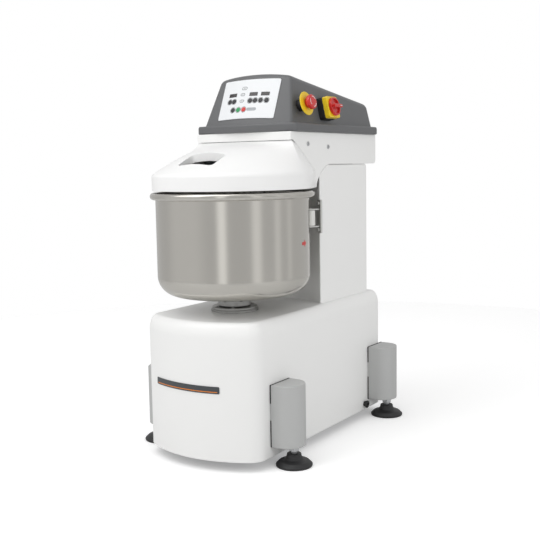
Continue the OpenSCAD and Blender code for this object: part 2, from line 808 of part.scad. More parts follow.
module rim_profile() {
    translate([bowl_r - bowl_wall, bowl_rim_z - bowl_bead_r + weld_gap])
        square([bowl_wall, bowl_bead_r - weld_gap]);
    translate([bowl_r - bowl_wall + bowl_bead_r - 1, bowl_rim_z])
        circle(r = bowl_bead_r - weld_gap, $fn = 48);
}

module bowl() color(steel) placed() {
    rotate_extrude($fn = 128) bottom_profile();
    rotate_extrude($fn = 128) corner_profile();
    rotate_extrude($fn = 128) wall_profile();
    rotate_extrude($fn = 128) rim_profile();
}

module bowl_hub() color(satin_grey) placed() difference() {
    union() {
        translate([0, 0, hub_low_z])
            cylinder(r = hub_r, h = bowl_bottom_z - hub_low_z, $fn = round_fn);
        translate([0, 0, bowl_bottom_z - 8]) cylinder(r = hub_flange_r, h = 8, $fn = round_fn);
        for (a = [30 : 60 : 330]) rotate([0, 0, a])
            translate([51, 0, bowl_bottom_z - 13]) cylinder(r = 5, h = 6, $fn = 6);
    }
    translate([0, 0, hub_low_z - 1])
        cylinder(r = shaft_r + running, h = bowl_bottom_z - hub_low_z - 3, $fn = round_fn);
}

module bowl_shaft() color(steel) placed() translate([0, 0, bowl_shaft_z[0]])
    cylinder(r = shaft_r, h = bowl_shaft_z[1] - bowl_shaft_z[0], $fn = round_fn);

// Flat pulley with a rim, a web with round holes, and a boss
module pulley(r, t, bore_r, boss_r) difference() {
    union() {
        cylinder(r = boss_r, h = t, $fn = round_fn);
        translate([0, 0, t / 2 - 3]) cylinder(r = r - 1, h = 6, $fn = round_fn);
        difference() {
            cylinder(r = r, h = t, $fn = round_fn);
            translate([0, 0, -1]) cylinder(r = r - 7, h = t + 2, $fn = round_fn);
        }
    }
    translate([0, 0, -1]) cylinder(r = bore_r + running, h = t + 2, $fn = round_fn);
    hole_r = min((r - 7 - boss_r) / 2 - 4, 0.2 * (r - 7 + boss_r));
    if (hole_r > 4) for (a = [0 : 60 : 300]) rotate([0, 0, a])
        translate([(r - 7 + boss_r) / 2, 0, -1]) cylinder(r = hole_r, h = t + 2, $fn = 48);
}

module motor_pulley(r, t, shaft_low) {
    cylinder(r = r, h = t, $fn = round_fn);
    translate([0, 0, shaft_low]) cylinder(r = motor_shaft_r, h = 1 - shaft_low, $fn = 64);
}

module bowl_pulley() color(frame_grey) placed() translate([0, 0, bowl_pulley_z])
    pulley(bowl_pulley_r, pulley_t, shaft_r, 34);

module bowl_bearing_housing() color(satin_grey) placed() difference() {
    union() {
        translate([0, 0, housing_low_z])
            cylinder(r = bowl_housing_r, h = base_top_z - housing_low_z + 1, $fn = round_fn);
        translate([0, 0, base_top_z]) cylinder(r = flange_r, h = 6, $fn = round_fn);
        translate([0, 0, base_top_z + 6]) cylinder(r = flange_r - 3, h = 6, $fn = round_fn);
        for (a = [0 : 60 : 300]) rotate([0, 0, a])
            translate([52, 0, base_top_z + 10]) cylinder(r = 4.5, h = 4, $fn = 6);
    }
    translate([0, 0, housing_low_z - 1])
        cylinder(r = shaft_r + running, h = base_top_z - housing_low_z + 20, $fn = round_fn);
}

// Finned motor standing on its axis, with a bore for its shaft in the top
module motor(r, low_z, high_z, shaft_depth) difference() {
    union() {
        translate([0, 0, low_z]) cylinder(r = r - 6, h = high_z - low_z, $fn = round_fn);
        for (z = [low_z + 20 : 9 : high_z - 26])
            translate([0, 0, z]) cylinder(r = r, h = 4, $fn = round_fn);
        translate([0, 0, high_z - 8]) cylinder(r = r, h = 8, $fn = round_fn);
        translate([0, 0, low_z]) cylinder(r = r - 2, h = 14, $fn = round_fn);
    }
    translate([0, 0, high_z - shaft_depth])
        cylinder(r = motor_shaft_r + running, h = shaft_depth + 1, $fn = 64);
}

module bowl_motor() color(frame_grey) placed() translate([0, motor_y, 0])
    motor(bowl_motor_r, bowl_motor_z[0], bowl_motor_z[1], 40);

module bowl_motor_pulley() color(steel) placed() translate([0, motor_y, bowl_pulley_z])
    motor_pulley(bowl_motor_pulley_r, pulley_t, -40);

// ---- Spiral and its drive ----

// Path of the spiral: out from the shaft, down round the axis, in again at the foot
function spiral_point(t) =
    let (out = min(1, t / 0.16), fold = max(0, (t - 0.86) / 0.14))
    let (r = spiral_path_r * (sin(90 * out) - 0.42 * fold * fold))
    let (a = 360 * spiral_turns * t + 90)
    [r * cos(a), r * sin(a), lerp(spiral_top_z, spiral_low_z, pow(t, 1.08))];

function unit(v) = v / norm(v);

function spiral_ring(k) =
    let (t = k / spiral_rings)
    let (p = spiral_point(t))
    let (along = unit(spiral_point(min(1, t + 0.004)) - spiral_point(max(0, t - 0.004))))
    let (side = unit(cross(along, [0, 0, 1])))
    let (up = cross(side, along))
    [for (i = [0 : spiral_sides - 1])
        let (a = 360 * i / spiral_sides)
        p + spiral_bar_r * (cos(a) * side - sin(a) * up)];

module spiral_hook() color(steel) placed() translate([0, spiral_y, 0]) {
    difference() {
        union() {
            loft([for (k = [0 : spiral_rings]) spiral_ring(k)]);
            translate([0, 0, spiral_hub_z[0]])
                cylinder(r = spiral_hub_r, h = spiral_hub_z[1] - spiral_hub_z[0],
                    $fn = round_fn);
        }
        translate([0, 0, spiral_shaft_z[0] - 0.2])
            cylinder(r = shaft_r + running, h = 80, $fn = round_fn);
    }
}

module spiral_shaft() color(steel) placed() translate([0, spiral_y, spiral_shaft_z[0]])
    cylinder(r = shaft_r, h = spiral_shaft_z[1] - spiral_shaft_z[0], $fn = round_fn);

module spiral_pulley() color(frame_grey) placed() translate([0, spiral_y, spiral_pulley_z])
    pulley(spiral_pulley_r, spiral_pulley_t, shaft_r, 32);

module spiral_bearing_housing() color(satin_grey) placed() translate([0, spiral_y, 0])
    difference() {
        union() {
            translate([0, 0, spiral_housing_z[0]])
                cylinder(r = spiral_housing_r, h = spiral_housing_z[1] - spiral_housing_z[0],
                    $fn = round_fn);
            translate([0, 0, head_plate_z - 10])
                cylinder(r = spiral_housing_r + 16, h = 10, $fn = round_fn);
        }
        translate([0, 0, spiral_housing_z[0] - 1])
            cylinder(r = shaft_r + running, h = 90, $fn = round_fn);
    }

module spiral_motor() color(frame_grey) placed() translate([0, motor_y, 0])
    motor(spiral_motor_r, spiral_motor_z[0], spiral_motor_z[1], 40);

module spiral_motor_pulley() color(steel) placed()
    translate([0, motor_y, spiral_pulley_z])
        motor_pulley(spiral_motor_pulley_r, spiral_pulley_t, -36);

module belt_loop(y1, r1, y2, r2, grow) hull() {
    translate([0, y1]) circle(r = r1 + grow, $fn = 64);
    translate([0, y2]) circle(r = r2 + grow, $fn = 64);
}

module belt(y1, r1, y2, r2, z, width) translate([0, 0, z]) linear_extrude(width)
    difference() {
        belt_loop(y1, r1, y2, r2, belt_gap + belt_t);
        belt_loop(y1, r1, y2, r2, belt_gap);
    }

module drive_belts() color(near_black) placed() {
    belt(0, bowl_pulley_r, motor_y, bowl_motor_pulley_r, bowl_pulley_z + 3, pulley_t - 6);
    belt(spiral_y, spiral_pulley_r, motor_y, spiral_motor_pulley_r, spiral_pulley_z + 2,
        spiral_pulley_t - 4);
}

// Fixed bar in the middle of the bowl that stops the dough from turning with it
module breaker_bar() color(steel) placed() {
    translate([0, bar_y, bar_low_z]) {
        cylinder(r = bar_r, h = head_plate_z + 10 - bar_low_z, $fn = 64);
        sphere(r = bar_r, $fn = 48);
    }
    box([-14, bar_y - 14, head_plate_z + 2], [14, nose_front_y - 8, head_plate_z + 22]);
    box([-36, nose_front_y - 8 - eps, head_plate_z + 2],
        [36, nose_front_y, head_plate_z + 22]);
}

base_shell();
base_frame();
column_shell();
column_frame();
head_shell();
head_frame();
top_cover();
control_panel();
display_windows();
circuit_board();
e_stop_collar();
e_stop_ring();
e_stop_button();
switch_box();
switch_plate();
switch_knob();
for (i = [0 : 3]) {
    x_side = i % 2 == 0 ? 1 : -1;
    y = leg_y[i < 2 ? 0 : 1];
    leg(x_side, y);
    foot_pad(x_side, y);
    foot_stem(x_side, y);
}
leg_gaskets();
name_plate();
cable_gland();
head_screws();
roller_brackets();
roller(1);  // roller_right
roller(-1);  // roller_left
bowl();
bowl_hub();
bowl_shaft();
bowl_pulley();
bowl_bearing_housing();
bowl_motor();
bowl_motor_pulley();
spiral_hook();
spiral_shaft();
spiral_pulley();
spiral_bearing_housing();
spiral_motor();
spiral_motor_pulley();
drive_belts();
breaker_bar();
lid();
for (i = [0 : len(KEYS) - 1])
    color(key_colour(i)) key(i);
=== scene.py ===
import json
import math

import bmesh
import bpy
from mathutils import Matrix, Vector
from mathutils.bvhtree import BVHTree

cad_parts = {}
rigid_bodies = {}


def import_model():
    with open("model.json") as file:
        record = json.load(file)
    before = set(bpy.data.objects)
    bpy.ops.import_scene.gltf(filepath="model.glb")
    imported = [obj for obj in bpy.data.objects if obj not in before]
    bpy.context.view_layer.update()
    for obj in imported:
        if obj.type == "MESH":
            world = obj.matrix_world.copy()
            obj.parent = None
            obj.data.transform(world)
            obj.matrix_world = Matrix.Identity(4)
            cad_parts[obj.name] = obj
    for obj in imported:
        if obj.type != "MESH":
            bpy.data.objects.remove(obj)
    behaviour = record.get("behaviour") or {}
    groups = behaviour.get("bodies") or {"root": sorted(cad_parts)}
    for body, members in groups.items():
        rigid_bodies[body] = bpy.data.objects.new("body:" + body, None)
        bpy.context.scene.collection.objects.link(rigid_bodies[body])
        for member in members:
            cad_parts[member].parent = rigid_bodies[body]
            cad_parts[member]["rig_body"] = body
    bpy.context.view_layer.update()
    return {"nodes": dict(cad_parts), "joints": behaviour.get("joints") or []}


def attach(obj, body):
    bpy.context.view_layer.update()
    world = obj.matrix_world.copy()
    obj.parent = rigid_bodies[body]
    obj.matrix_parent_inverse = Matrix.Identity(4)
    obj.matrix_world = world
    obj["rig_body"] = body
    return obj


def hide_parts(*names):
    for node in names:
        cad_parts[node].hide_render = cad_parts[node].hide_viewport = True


# A commercial spiral dough mixer: base on four feet, column, head with the controls, turning
# bowl under a hinged guard, spiral and breaker bar.

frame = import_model()

# Shapes are built in millimetres about the bowl's axis and then moved into the row frame.
JOINTS = {j["name"]: j for j in frame["joints"]}
TO_ROW = Matrix.Translation((0, JOINTS["bowl_spin"]["pos_m"][1], 0)) @ Matrix.Scale(0.001, 4)
# A profile drawn as (y, z) and carried along x
ACROSS = Matrix(((0, 0, 1, 0), (1, 0, 0, 0), (0, 1, 0, 0), (0, 0, 0, 1)))
RIGHT_AND_LEFT = (1, -1)


def rad(degrees):
    return math.radians(degrees)


def turn(degrees, axis):
    return Matrix.Rotation(rad(degrees), 4, axis)


def shift(x, y, z):
    return Matrix.Translation((x, y, z))


def lerp(a, b, t):
    return a + (b - a) * t


# ---- Outlines ----


def arc(cx, cy, r, start, end, steps):
    """Points on an arc, angles in degrees."""
    angles = [rad(lerp(start, end, i / steps)) for i in range(steps + 1)]
    return [(cx + r * math.cos(a), cy + r * math.sin(a)) for a in angles]


def rounded(corners, steps=6):
    """Closed outline through corners (x, y, radius), each corner rounded."""
    out = []
    for i, (x, y, r) in enumerate(corners):
        p = Vector((x, y))
        if r <= 0:
            out.append((x, y))
            continue
        before = (Vector(corners[i - 1][:2]) - p).normalized()
        after = (Vector(corners[(i + 1) % len(corners)][:2]) - p).normalized()
        half = before.angle(after) / 2
        centre = p + (before + after).normalized() * (r / math.sin(half))
        a = p + before * (r / math.tan(half)) - centre
        b = p + after * (r / math.tan(half)) - centre
        start = math.atan2(a.y, a.x)
        sweep = math.atan2(a.x * b.y - a.y * b.x, a.dot(b))
        for k in range(steps + 1):
            angle = start + sweep * k / steps
            out.append((centre.x + r * math.cos(angle), centre.y + r * math.sin(angle)))
    return out


def rect(x0, y0, x1, y1, r, steps=6):
    return rounded([(x0, y0, r), (x1, y0, r), (x1, y1, r), (x0, y1, r)], steps)


def offset(outline, distance):
    """The outline moved inwards. It runs anticlockwise."""
    if not distance:
        return list(outline)
    out = []
    for i, point in enumerate(outline):
        p = Vector(point)
        e0 = (p - Vector(outline[i - 1])).normalized()
        e1 = (Vector(outline[(i + 1) % len(outline)]) - p).normalized()
        n0, n1 = Vector((-e0.y, e0.x)), Vector((-e1.y, e1.x))
        q = p + (n0 + n1) * (distance / max(0.3, 1 + n0.dot(n1)))
        out.append((q.x, q.y))
    return out


# ---- Solids ----


def skin(rings, loop=False, caps=True):
    """Skin through rings that all have the same number of points."""
    bm = bmesh.new()
    rows = [[bm.verts.new(p) for p in ring] for ring in rings]
    pairs = list(zip(rows, rows[1:]))
    if loop:
        pairs.append((rows[-1], rows[0]))
    for a, b in pairs:
        for i in range(len(a)):
            j = (i + 1) % len(a)
            bm.faces.new((a[i], a[j], b[j], b[i]))
    if caps and not loop:
        bm.faces.new(rows[0][::-1])
        bm.faces.new(rows[-1])
    return tidy(bm)


def tidy(bm):
    """Merges points that fall together and turns the faces outwards."""
    bmesh.ops.remove_doubles(bm, verts=bm.verts[:], dist=0.004)
    bmesh.ops.dissolve_degenerate(bm, dist=0.002, edges=bm.edges[:])
    bmesh.ops.recalc_face_normals(bm, faces=bm.faces[:])
    return bm


def level(outline, z):
    return [(x, y, z) for x, y in outline]


def slab(outline, low, high, edge=1.0, steps=3, low_edge=None):
    """Upright prism whose top and bottom edges are rounded, each edge by its own amount."""
    low_edge = edge if low_edge is None else low_edge
    rings = []
    for k in range(steps + 1):
        a = math.pi / 2 * k / steps
        at = low + low_edge * (1 - math.cos(a))
        rings.append(level(offset(outline, low_edge * (1 - math.sin(a))), at))
    for k in range(steps, -1, -1):
        a = math.pi / 2 * k / steps
        at = high - edge * (1 - math.cos(a))
        rings.append(level(offset(outline, edge * (1 - math.sin(a))), at))
    return skin(rings)


def box(low, high, edge=1.0):
    """Block with rounded edges."""
    return slab(rect(low[0], low[1], high[0], high[1], edge, 3), low[2], high[2], edge)


def plain_box(low, high):
    """Block with sharp edges, for cutting and joining."""
    outline = [(low[0], low[1]), (high[0], low[1]), (high[0], high[1]), (low[0], high[1])]
    return skin([level(outline, low[2]), level(outline, high[2])])


def disc(r, low, high, segments=64):
    outline = arc(0, 0, r, 0, 360 - 360 / segments, segments - 1)
    return skin([level(outline, low), level(outline, high)])


def lathe(profile, segments=128):
    """Turned solid from a closed profile of (radius, height)."""
    rings = []
    for i in range(segments):
        a = 2 * math.pi * i / segments
        rings.append([(r * math.cos(a), r * math.sin(a), z) for r, z in profile])
    return skin(rings, loop=True)


def turned(corners, segments=128, steps=5):
    """Turned solid from corners (radius, height, rounding)."""
    return lathe(rounded(corners, steps), segments)


def hexagon(r, low, high, edge=0.8):
    corners = [(r * math.cos(rad(60 * i)), r * math.sin(rad(60 * i)), 0.6) for i in range(6)]
    return slab(rounded(corners, 2), low, high, edge, 2)


def moved(bm, matrix):
    bm.transform(matrix)
    return bm


def paint(bm, index):
    for face in bm.faces:
        face.material_index = index
    return bm


def join(*parts):
    """One mesh of several, with no boolean."""
    whole = bmesh.new()
    for bm in parts:
        mesh = bpy.data.meshes.new("part")
        bm.to_mesh(mesh)
        bm.free()
        whole.from_mesh(mesh)
        bpy.data.meshes.remove(mesh)
    return whole


def combine(bm, tool, operation="DIFFERENCE"):
    """Boolean of two closed solids."""
    objects = []
    for part in (bm, tool):
        bmesh.ops.recalc_face_normals(part, faces=part.faces[:])
        mesh = bpy.data.meshes.new("part")
        part.to_mesh(mesh)
        part.free()
        objects.append(bpy.data.objects.new("part", mesh))
        bpy.context.scene.collection.objects.link(objects[-1])
    modifier = objects[0].modifiers.new("cut", "BOOLEAN")
    modifier.operation = operation
    modifier.solver = "EXACT"
    modifier.object = objects[1]
    graph = bpy.context.evaluated_depsgraph_get()
    out = bmesh.new()
    out.from_mesh(objects[0].evaluated_get(graph).to_mesh())
    for o in objects:
        mesh = o.data
        bpy.data.objects.remove(o)
        bpy.data.meshes.remove(mesh)
    return out


def bend(bm, low, high, step, place):
    """Cuts a flat solid into strips across x, then moves its points with place()."""
    at = low + step
    while at < high - step / 2:
        geometry = bm.verts[:] + bm.edges[:] + bm.faces[:]
        bmesh.ops.bisect_plane(bm, geom=geometry, plane_co=(at, 0, 0), plane_no=(1, 0, 0))
        at += step
    for v in bm.verts:
        v.co = place(v.co.x, v.co.y, v.co.z)
    return bm


def piece(name, bm, materials, nodes, sharp=32, place=TO_ROW):
    """Turns a solid into a shown piece that stands for CAD nodes and rides on their body.
    Edges sharper than the angle sharp stay sharp."""
    bmesh.ops.remove_doubles(bm, verts=bm.verts[:], dist=0.004)
    bmesh.ops.recalc_face_normals(bm, faces=bm.faces[:])
    bm.transform(place)
    mesh = bpy.data.meshes.new(name)
    bm.to_mesh(mesh)
    bm.free()
    for material in materials:
        mesh.materials.append(material)
    mesh.shade_smooth()
    mesh.set_sharp_from_angle(angle=rad(sharp))
    obj = bpy.data.objects.new(name, mesh)
    bpy.context.scene.collection.objects.link(obj)
    modifier = obj.modifiers.new("normals", "WEIGHTED_NORMAL")
    modifier.keep_sharp = True
    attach(obj, frame["nodes"][nodes[0]]["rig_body"])
    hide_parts(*nodes)
    return obj


# ---- Materials ----


def add_node(nodes, kind, **values):
    """A shader node and the values of its inputs, named with _ for a space."""
    node = nodes.new("ShaderNode" + kind)
    for name, value in values.items():
        node.inputs[name.replace("_", " ")].default_value = value
    return node


def finish_of(
    name, colour, rough, metal=0.0, vary=0.03, wear=0.06, grain=1400.0, bump=0.04,
    coat=0.0, stretch=(1, 1, 1), cloud=9.0, spread=0.0002,
):
    """Procedural finish: slow colour and gloss variation, and a fine surface texture.

    vary is the change of colour and wear that of the roughness. cloud and grain are the scales
    of the slow and the fine pattern, stretch draws the fine one out along an axis, and bump and
    spread are the strength and height of its relief.
    """
    material = bpy.data.materials.new(name)
    material.use_nodes = True
    tree = material.node_tree
    nodes, links = tree.nodes, tree.links
    shader = nodes["Principled BSDF"]
    shader.inputs["Metallic"].default_value = metal
    shader.inputs["Coat Weight"].default_value = coat
    shader.inputs["Coat Roughness"].default_value = 0.12
    where = nodes.new("ShaderNodeTexCoord")
    slow = add_node(nodes, "TexNoise", Scale=cloud, Detail=5.0)
    links.new(where.outputs["Object"], slow.inputs["Vector"])
    tint = nodes.new("ShaderNodeMix")
    tint.data_type = "RGBA"
    tint.inputs[6].default_value = [max(0.0, c * (1 - vary)) for c in colour] + [1]
    tint.inputs[7].default_value = [min(1.0, c * (1 + vary)) for c in colour] + [1]
    links.new(slow.outputs["Fac"], tint.inputs[0])
    links.new(tint.outputs[2], shader.inputs["Base Color"])
    mapping = add_node(nodes, "Mapping", Scale=stretch)
    links.new(where.outputs["Object"], mapping.inputs["Vector"])
    fine = add_node(nodes, "TexNoise", Scale=grain, Detail=3.0)
    links.new(mapping.outputs["Vector"], fine.inputs["Vector"])
    gloss = add_node(nodes, "MapRange", To_Min=max(0.02, rough - wear), To_Max=rough + wear)
    both = nodes.new("ShaderNodeMath")
    both.operation = "ADD"
    links.new(slow.outputs["Fac"], both.inputs[0])
    links.new(fine.outputs["Fac"], both.inputs[1])
    half = nodes.new("ShaderNodeMath")
    half.operation = "MULTIPLY"
    half.inputs[1].default_value = 0.5
    links.new(both.outputs[0], half.inputs[0])
    links.new(half.outputs[0], gloss.inputs["Value"])
    links.new(gloss.outputs["Result"], shader.inputs["Roughness"])
    relief = add_node(nodes, "Bump", Strength=bump, Distance=spread)
    links.new(fine.outputs["Fac"], relief.inputs["Height"])
    links.new(relief.outputs["Normal"], shader.inputs["Normal"])
    return material


WHITE = finish_of(
    "white_coat", (0.86, 0.86, 0.85), 0.33, vary=0.012, coat=0.25, grain=700, bump=0.05
)
GUARD = finish_of("white_moulding", (0.88, 0.88, 0.875), 0.36, vary=0.012, coat=0.1, grain=1600)
COVER = finish_of(
    "anthracite_moulding", (0.118, 0.12, 0.124), 0.4, vary=0.08, grain=1300, bump=0.22
)
FILM = finish_of("panel_film", (0.76, 0.775, 0.79), 0.3, vary=0.015, grain=2500, bump=0.03)
MARK_DARK = finish_of("mark_dark", (0.1, 0.11, 0.12), 0.4, vary=0.1)
MARK_GREY = finish_of("mark_grey", (0.36, 0.38, 0.4), 0.4, vary=0.05)
MARK_WHITE = finish_of("mark_white", (0.8, 0.8, 0.79), 0.4, vary=0.02)
WINDOW = finish_of("smoked_window", (0.012, 0.013, 0.016), 0.12, vary=0.2, bump=0.01, coat=0.5)
SEGMENT = finish_of("window_segments", (0.07, 0.035, 0.03), 0.25, vary=0.1)
KEY_BLACK = finish_of("key_black", (0.02, 0.021, 0.024), 0.38, vary=0.15, grain=3000, bump=0.1)
KEY_GREEN = finish_of("key_green", (0.02, 0.3, 0.09), 0.36, vary=0.06, grain=3000, bump=0.1)
KEY_RED = finish_of("key_red", (0.6, 0.03, 0.025), 0.36, vary=0.06, grain=3000, bump=0.1)
BOARD = finish_of("board_green", (0.02, 0.16, 0.06), 0.4, vary=0.2, cloud=120)
BLACK = finish_of("switch_black", (0.014, 0.014, 0.015), 0.4, vary=0.2, grain=2600, bump=0.15)
YELLOW = finish_of("safety_yellow", (0.84, 0.6, 0.02), 0.3, vary=0.03, grain=2200, bump=0.05)
RED = finish_of(
    "safety_red", (0.58, 0.018, 0.016), 0.26, vary=0.04, grain=2200, bump=0.05, coat=0.3
)
LEG = finish_of(
    "satin_leg", (0.5, 0.505, 0.5), 0.42, metal=0.35, vary=0.03, grain=260,
    stretch=(6, 6, 1), bump=0.05,
)
RUBBER = finish_of("gasket_rubber", (0.016, 0.016, 0.017), 0.7, vary=0.2, grain=1800, bump=0.3)
FOOT = finish_of("foot_black", (0.02, 0.02, 0.021), 0.5, vary=0.2, grain=1500, bump=0.25)
ZINC = finish_of("zinc_steel", (0.55, 0.56, 0.57), 0.32, metal=1.0, vary=0.08, grain=900, cloud=60)
BADGE = finish_of("badge_grey", (0.05, 0.055, 0.06), 0.35, vary=0.1, grain=2000)
ORANGE = finish_of("badge_line", (0.75, 0.22, 0.02), 0.35, vary=0.05)
STEEL = finish_of(
    "bowl_steel", (0.58, 0.562, 0.522), 0.19, metal=1.0, vary=0.02, wear=0.05, grain=150,
    stretch=(0.06, 0.06, 14), bump=0.05, cloud=5, spread=0.0001,
)
ARROW = finish_of("arrow_red", (0.55, 0.03, 0.025), 0.4, vary=0.05)
HUB = finish_of("hub_steel", (0.42, 0.42, 0.41), 0.36, metal=0.9, vary=0.06, grain=500, cloud=40)
SHAFT = finish_of(
    "shaft_steel", (0.58, 0.57, 0.55), 0.24, metal=1.0, vary=0.04, grain=200,
    stretch=(0.2, 0.2, 9), bump=0.06,
)
BRACKET = finish_of("bracket_steel", (0.6, 0.6, 0.58), 0.34, metal=0.9, vary=0.04, grain=400)
ROLLER = finish_of("roller_white", (0.8, 0.8, 0.77), 0.45, vary=0.03, grain=1500, bump=0.08)
IRON = finish_of("pulley_iron", (0.2, 0.2, 0.2), 0.5, metal=0.7, vary=0.15, grain=700, bump=0.15)
MOTOR = finish_of("motor_grey", (0.16, 0.18, 0.2), 0.45, vary=0.1, grain=900, bump=0.15)
FRAME = finish_of("frame_paint", (0.25, 0.27, 0.29), 0.45, vary=0.08, grain=900, bump=0.12)
BELT = finish_of("belt_rubber", (0.02, 0.02, 0.02), 0.75, vary=0.2, grain=1600, bump=0.3)


def dress(node, material):
    """A CAD node that is shown as it is, with a procedural finish."""
    obj = frame["nodes"][node]
    obj.data.materials.clear()
    obj.data.materials.append(material)


for node, material, slot in (
    ("base_frame", FRAME, "frame_paint"),
    ("column_frame", FRAME, "frame_paint"),
    ("head_frame", FRAME, "frame_paint"),
    ("circuit_board", BOARD, "board_green"),
    ("bowl_pulley", IRON, "pulley_iron"),
    ("spiral_pulley", IRON, "pulley_iron"),
    ("bowl_motor_pulley", IRON, "pulley_iron"),
    ("spiral_motor_pulley", IRON, "pulley_iron"),
    ("bowl_motor", MOTOR, "motor_grey"),
    ("spiral_motor", MOTOR, "motor_grey"),
    ("drive_belts", BELT, "belt_rubber"),
):
    dress(node, material)


# ---- Base ----

WALL = 4
BASE_X, BASE_FRONT, BASE_REAR, BASE_LOW, BASE_TOP = 174, -206, 518, 25, 370
FRONT_R, FRONT_CORNER, REAR_CORNER = 300, 45, 32
# Rounding of the top edge, inwards and downwards, and the hole for the bowl's bearing
EDGE_IN, EDGE_DOWN, BEARING_HOLE_R = 22, 39, 51
GLAND_R = 8
AT_GLAND = shift(BASE_X, 403, 42) @ turn(90, "Y")
FRONT_CENTRE = BASE_FRONT + FRONT_R
CORNER_X = BASE_X - FRONT_CORNER
CORNER_Y = FRONT_CENTRE - math.sqrt((FRONT_R - FRONT_CORNER) ** 2 - CORNER_X**2)
CORNER_START = math.degrees(math.atan2(CORNER_Y - FRONT_CENTRE, CORNER_X))


def base_outline(inset):
    """Plan of the base: bowed front, rounded corners."""
    front = arc(0, FRONT_CENTRE, FRONT_R - inset, -180 - CORNER_START, CORNER_START, 36)
    x, y = BASE_X - REAR_CORNER, BASE_REAR - REAR_CORNER
    return (
        arc(CORNER_X, CORNER_Y, FRONT_CORNER - inset, CORNER_START, 0, 14)
        + arc(x, y, REAR_CORNER - inset, 0, 90, 12)
        + arc(-x, y, REAR_CORNER - inset, 90, 180, 12)
        + arc(-CORNER_X, CORNER_Y, FRONT_CORNER - inset, 180, 180 - CORNER_START, 14)
        + front[1:-1]
    )


def way_through(low, high):
    """Opening that joins base, column and head, for the frames and the belts."""
    return plain_box((-112, 264, low), (112, 462, high))


def top_edge(inset, z, steps):
    """Insets and heights of the rounded top edge, from the side up to the top."""
    angles = [rad(90 * i / steps) for i in range(steps + 1)]
    return [
        (inset + EDGE_IN * (1 - math.cos(a)), z - EDGE_DOWN * (1 - math.sin(a))) for a in angles
    ]


def base_shell():
    foot = [(2.0, BASE_LOW), (0.6, BASE_LOW + 0.5), (0, BASE_LOW + 2)]
    outer = foot + top_edge(0, BASE_TOP, 14)
    inner = top_edge(WALL, BASE_TOP - WALL, 8)[::-1] + [(WALL, BASE_LOW)]
    hole = [tuple(Vector(p).normalized() * BEARING_HOLE_R) for p in base_outline(EDGE_IN)]
    rings = [level(base_outline(inset), z) for inset, z in outer]
    rings += [level(hole, BASE_TOP), level(hole, BASE_TOP - WALL)]
    rings += [level(base_outline(inset), z) for inset, z in inner]
    shell = combine(skin(rings, loop=True), way_through(BASE_TOP - 20, BASE_TOP + 20))
    return combine(shell, moved(disc(GLAND_R + 0.05, -20, 20), AT_GLAND))


piece("base_cover", base_shell(), [WHITE], ["base_shell"])

# Legs: half round outside, flat against the base, each with a key that holds it to the base
LEG_Y, LEG_LOW, LEG_HIGH, LEG_CENTRE_X, LEG_R, LEG_WALL = (-59, 467), 52, 210, 199, 44.5, 3
FOOT_X, STEM_R, KEY_LOW, KEY_HIGH = 215, 8, 120, 163


def leg_outline(inset, inner_x):
    r = LEG_R - inset
    return [(inner_x, -r)] + arc(LEG_CENTRE_X, 0, r, -90, 90, 40) + [(inner_x, r)]


def leg():
    body = slab(leg_outline(0, BASE_X + 4), LEG_LOW, LEG_HIGH, 2.2, 4)
    key = plain_box((BASE_X + 0.2, 1 - LEG_R, KEY_LOW), (BASE_X + 8, LEG_R - 1, KEY_HIGH))
    body = combine(body, key, "UNION")
    hollow = slab(leg_outline(LEG_WALL, BASE_X + 7), LEG_LOW + 12, LEG_HIGH - LEG_WALL, 1)
    bore = moved(disc(STEM_R + 0.1, LEG_LOW - 12, LEG_LOW + 18), shift(FOOT_X, 0, 0))
    return combine(body, combine(hollow, bore, "UNION"))


def foot_pad():
    """Round pad with a socket for the stem."""
    return turned(
        [
            (0, 0, 0), (45.5, 0, 1.5), (46.9, 5, 3), (38, 13.5, 6), (24, 17.5, 7), (19.5, 24, 5),
            (18, 32, 1.5), (8.1, 32, 0.5), (8.1, 12, 0), (0, 12, 0),
        ]
    )


def foot_stem():
    """Threaded rod with a lock nut and a washer."""
    turns, pitch, depth = 54, 2.5, 0.9
    thread = []
    for i in range(turns):
        z = 14.5 + pitch * i
        thread += [(STEM_R, z), (STEM_R, z + 0.7), (STEM_R - depth, z + 1.25), (STEM_R, z + 1.9)]
    foot = [(0, 12.1), (STEM_R - 1, 12.1), (STEM_R, 13.2)]
    stem = lathe(foot + thread + [(STEM_R - 0.8, 150), (0, 150)], 40)
    washer = turned([(8.02, 50.1, 0), (13, 50.1, 0.4), (13, 51.8, 0.4), (8.02, 51.8, 0)], 48, 2)
    return join(stem, hexagon(14, 38, 50, 1.2), washer)


for end, y in zip(("front", "rear"), LEG_Y):
    for side in RIGHT_AND_LEFT:
        corner = end + ("_right" if side > 0 else "_left")
        flip = TO_ROW @ Matrix.Diagonal((side, 1, 1, 1)) @ shift(0, y, 0)
        at_foot = TO_ROW @ shift(side * FOOT_X, y, 0)
        piece("leg_housing_" + corner, leg(), [LEG], ["leg_" + corner], place=flip)
        for kind, solid, material, slot in (
            ("pad_", foot_pad(), FOOT, "foot_black"),
            ("stem_", foot_stem(), ZINC, "zinc_steel"),
        ):
            piece(kind + corner, solid, [material], ["foot_" + kind + corner], place=at_foot)


def across(side, near, far):
    """The span from near to far on one side of the middle, low x first."""
    return sorted((side * near, side * far))


gaskets = []
for side in RIGHT_AND_LEFT:
    left, right = across(side, BASE_X + 0.2, BASE_X + 3.9)
    for y in LEG_Y:
        for low, high in ((LEG_LOW, KEY_LOW), (KEY_HIGH, LEG_HIGH)):
            half = LEG_R - 0.1
            gaskets.append(box((left, y - half, low), (right, y + half, high), 0.7))
piece("leg_gasket_strips", join(*gaskets), [RUBBER], ["leg_gaskets"])


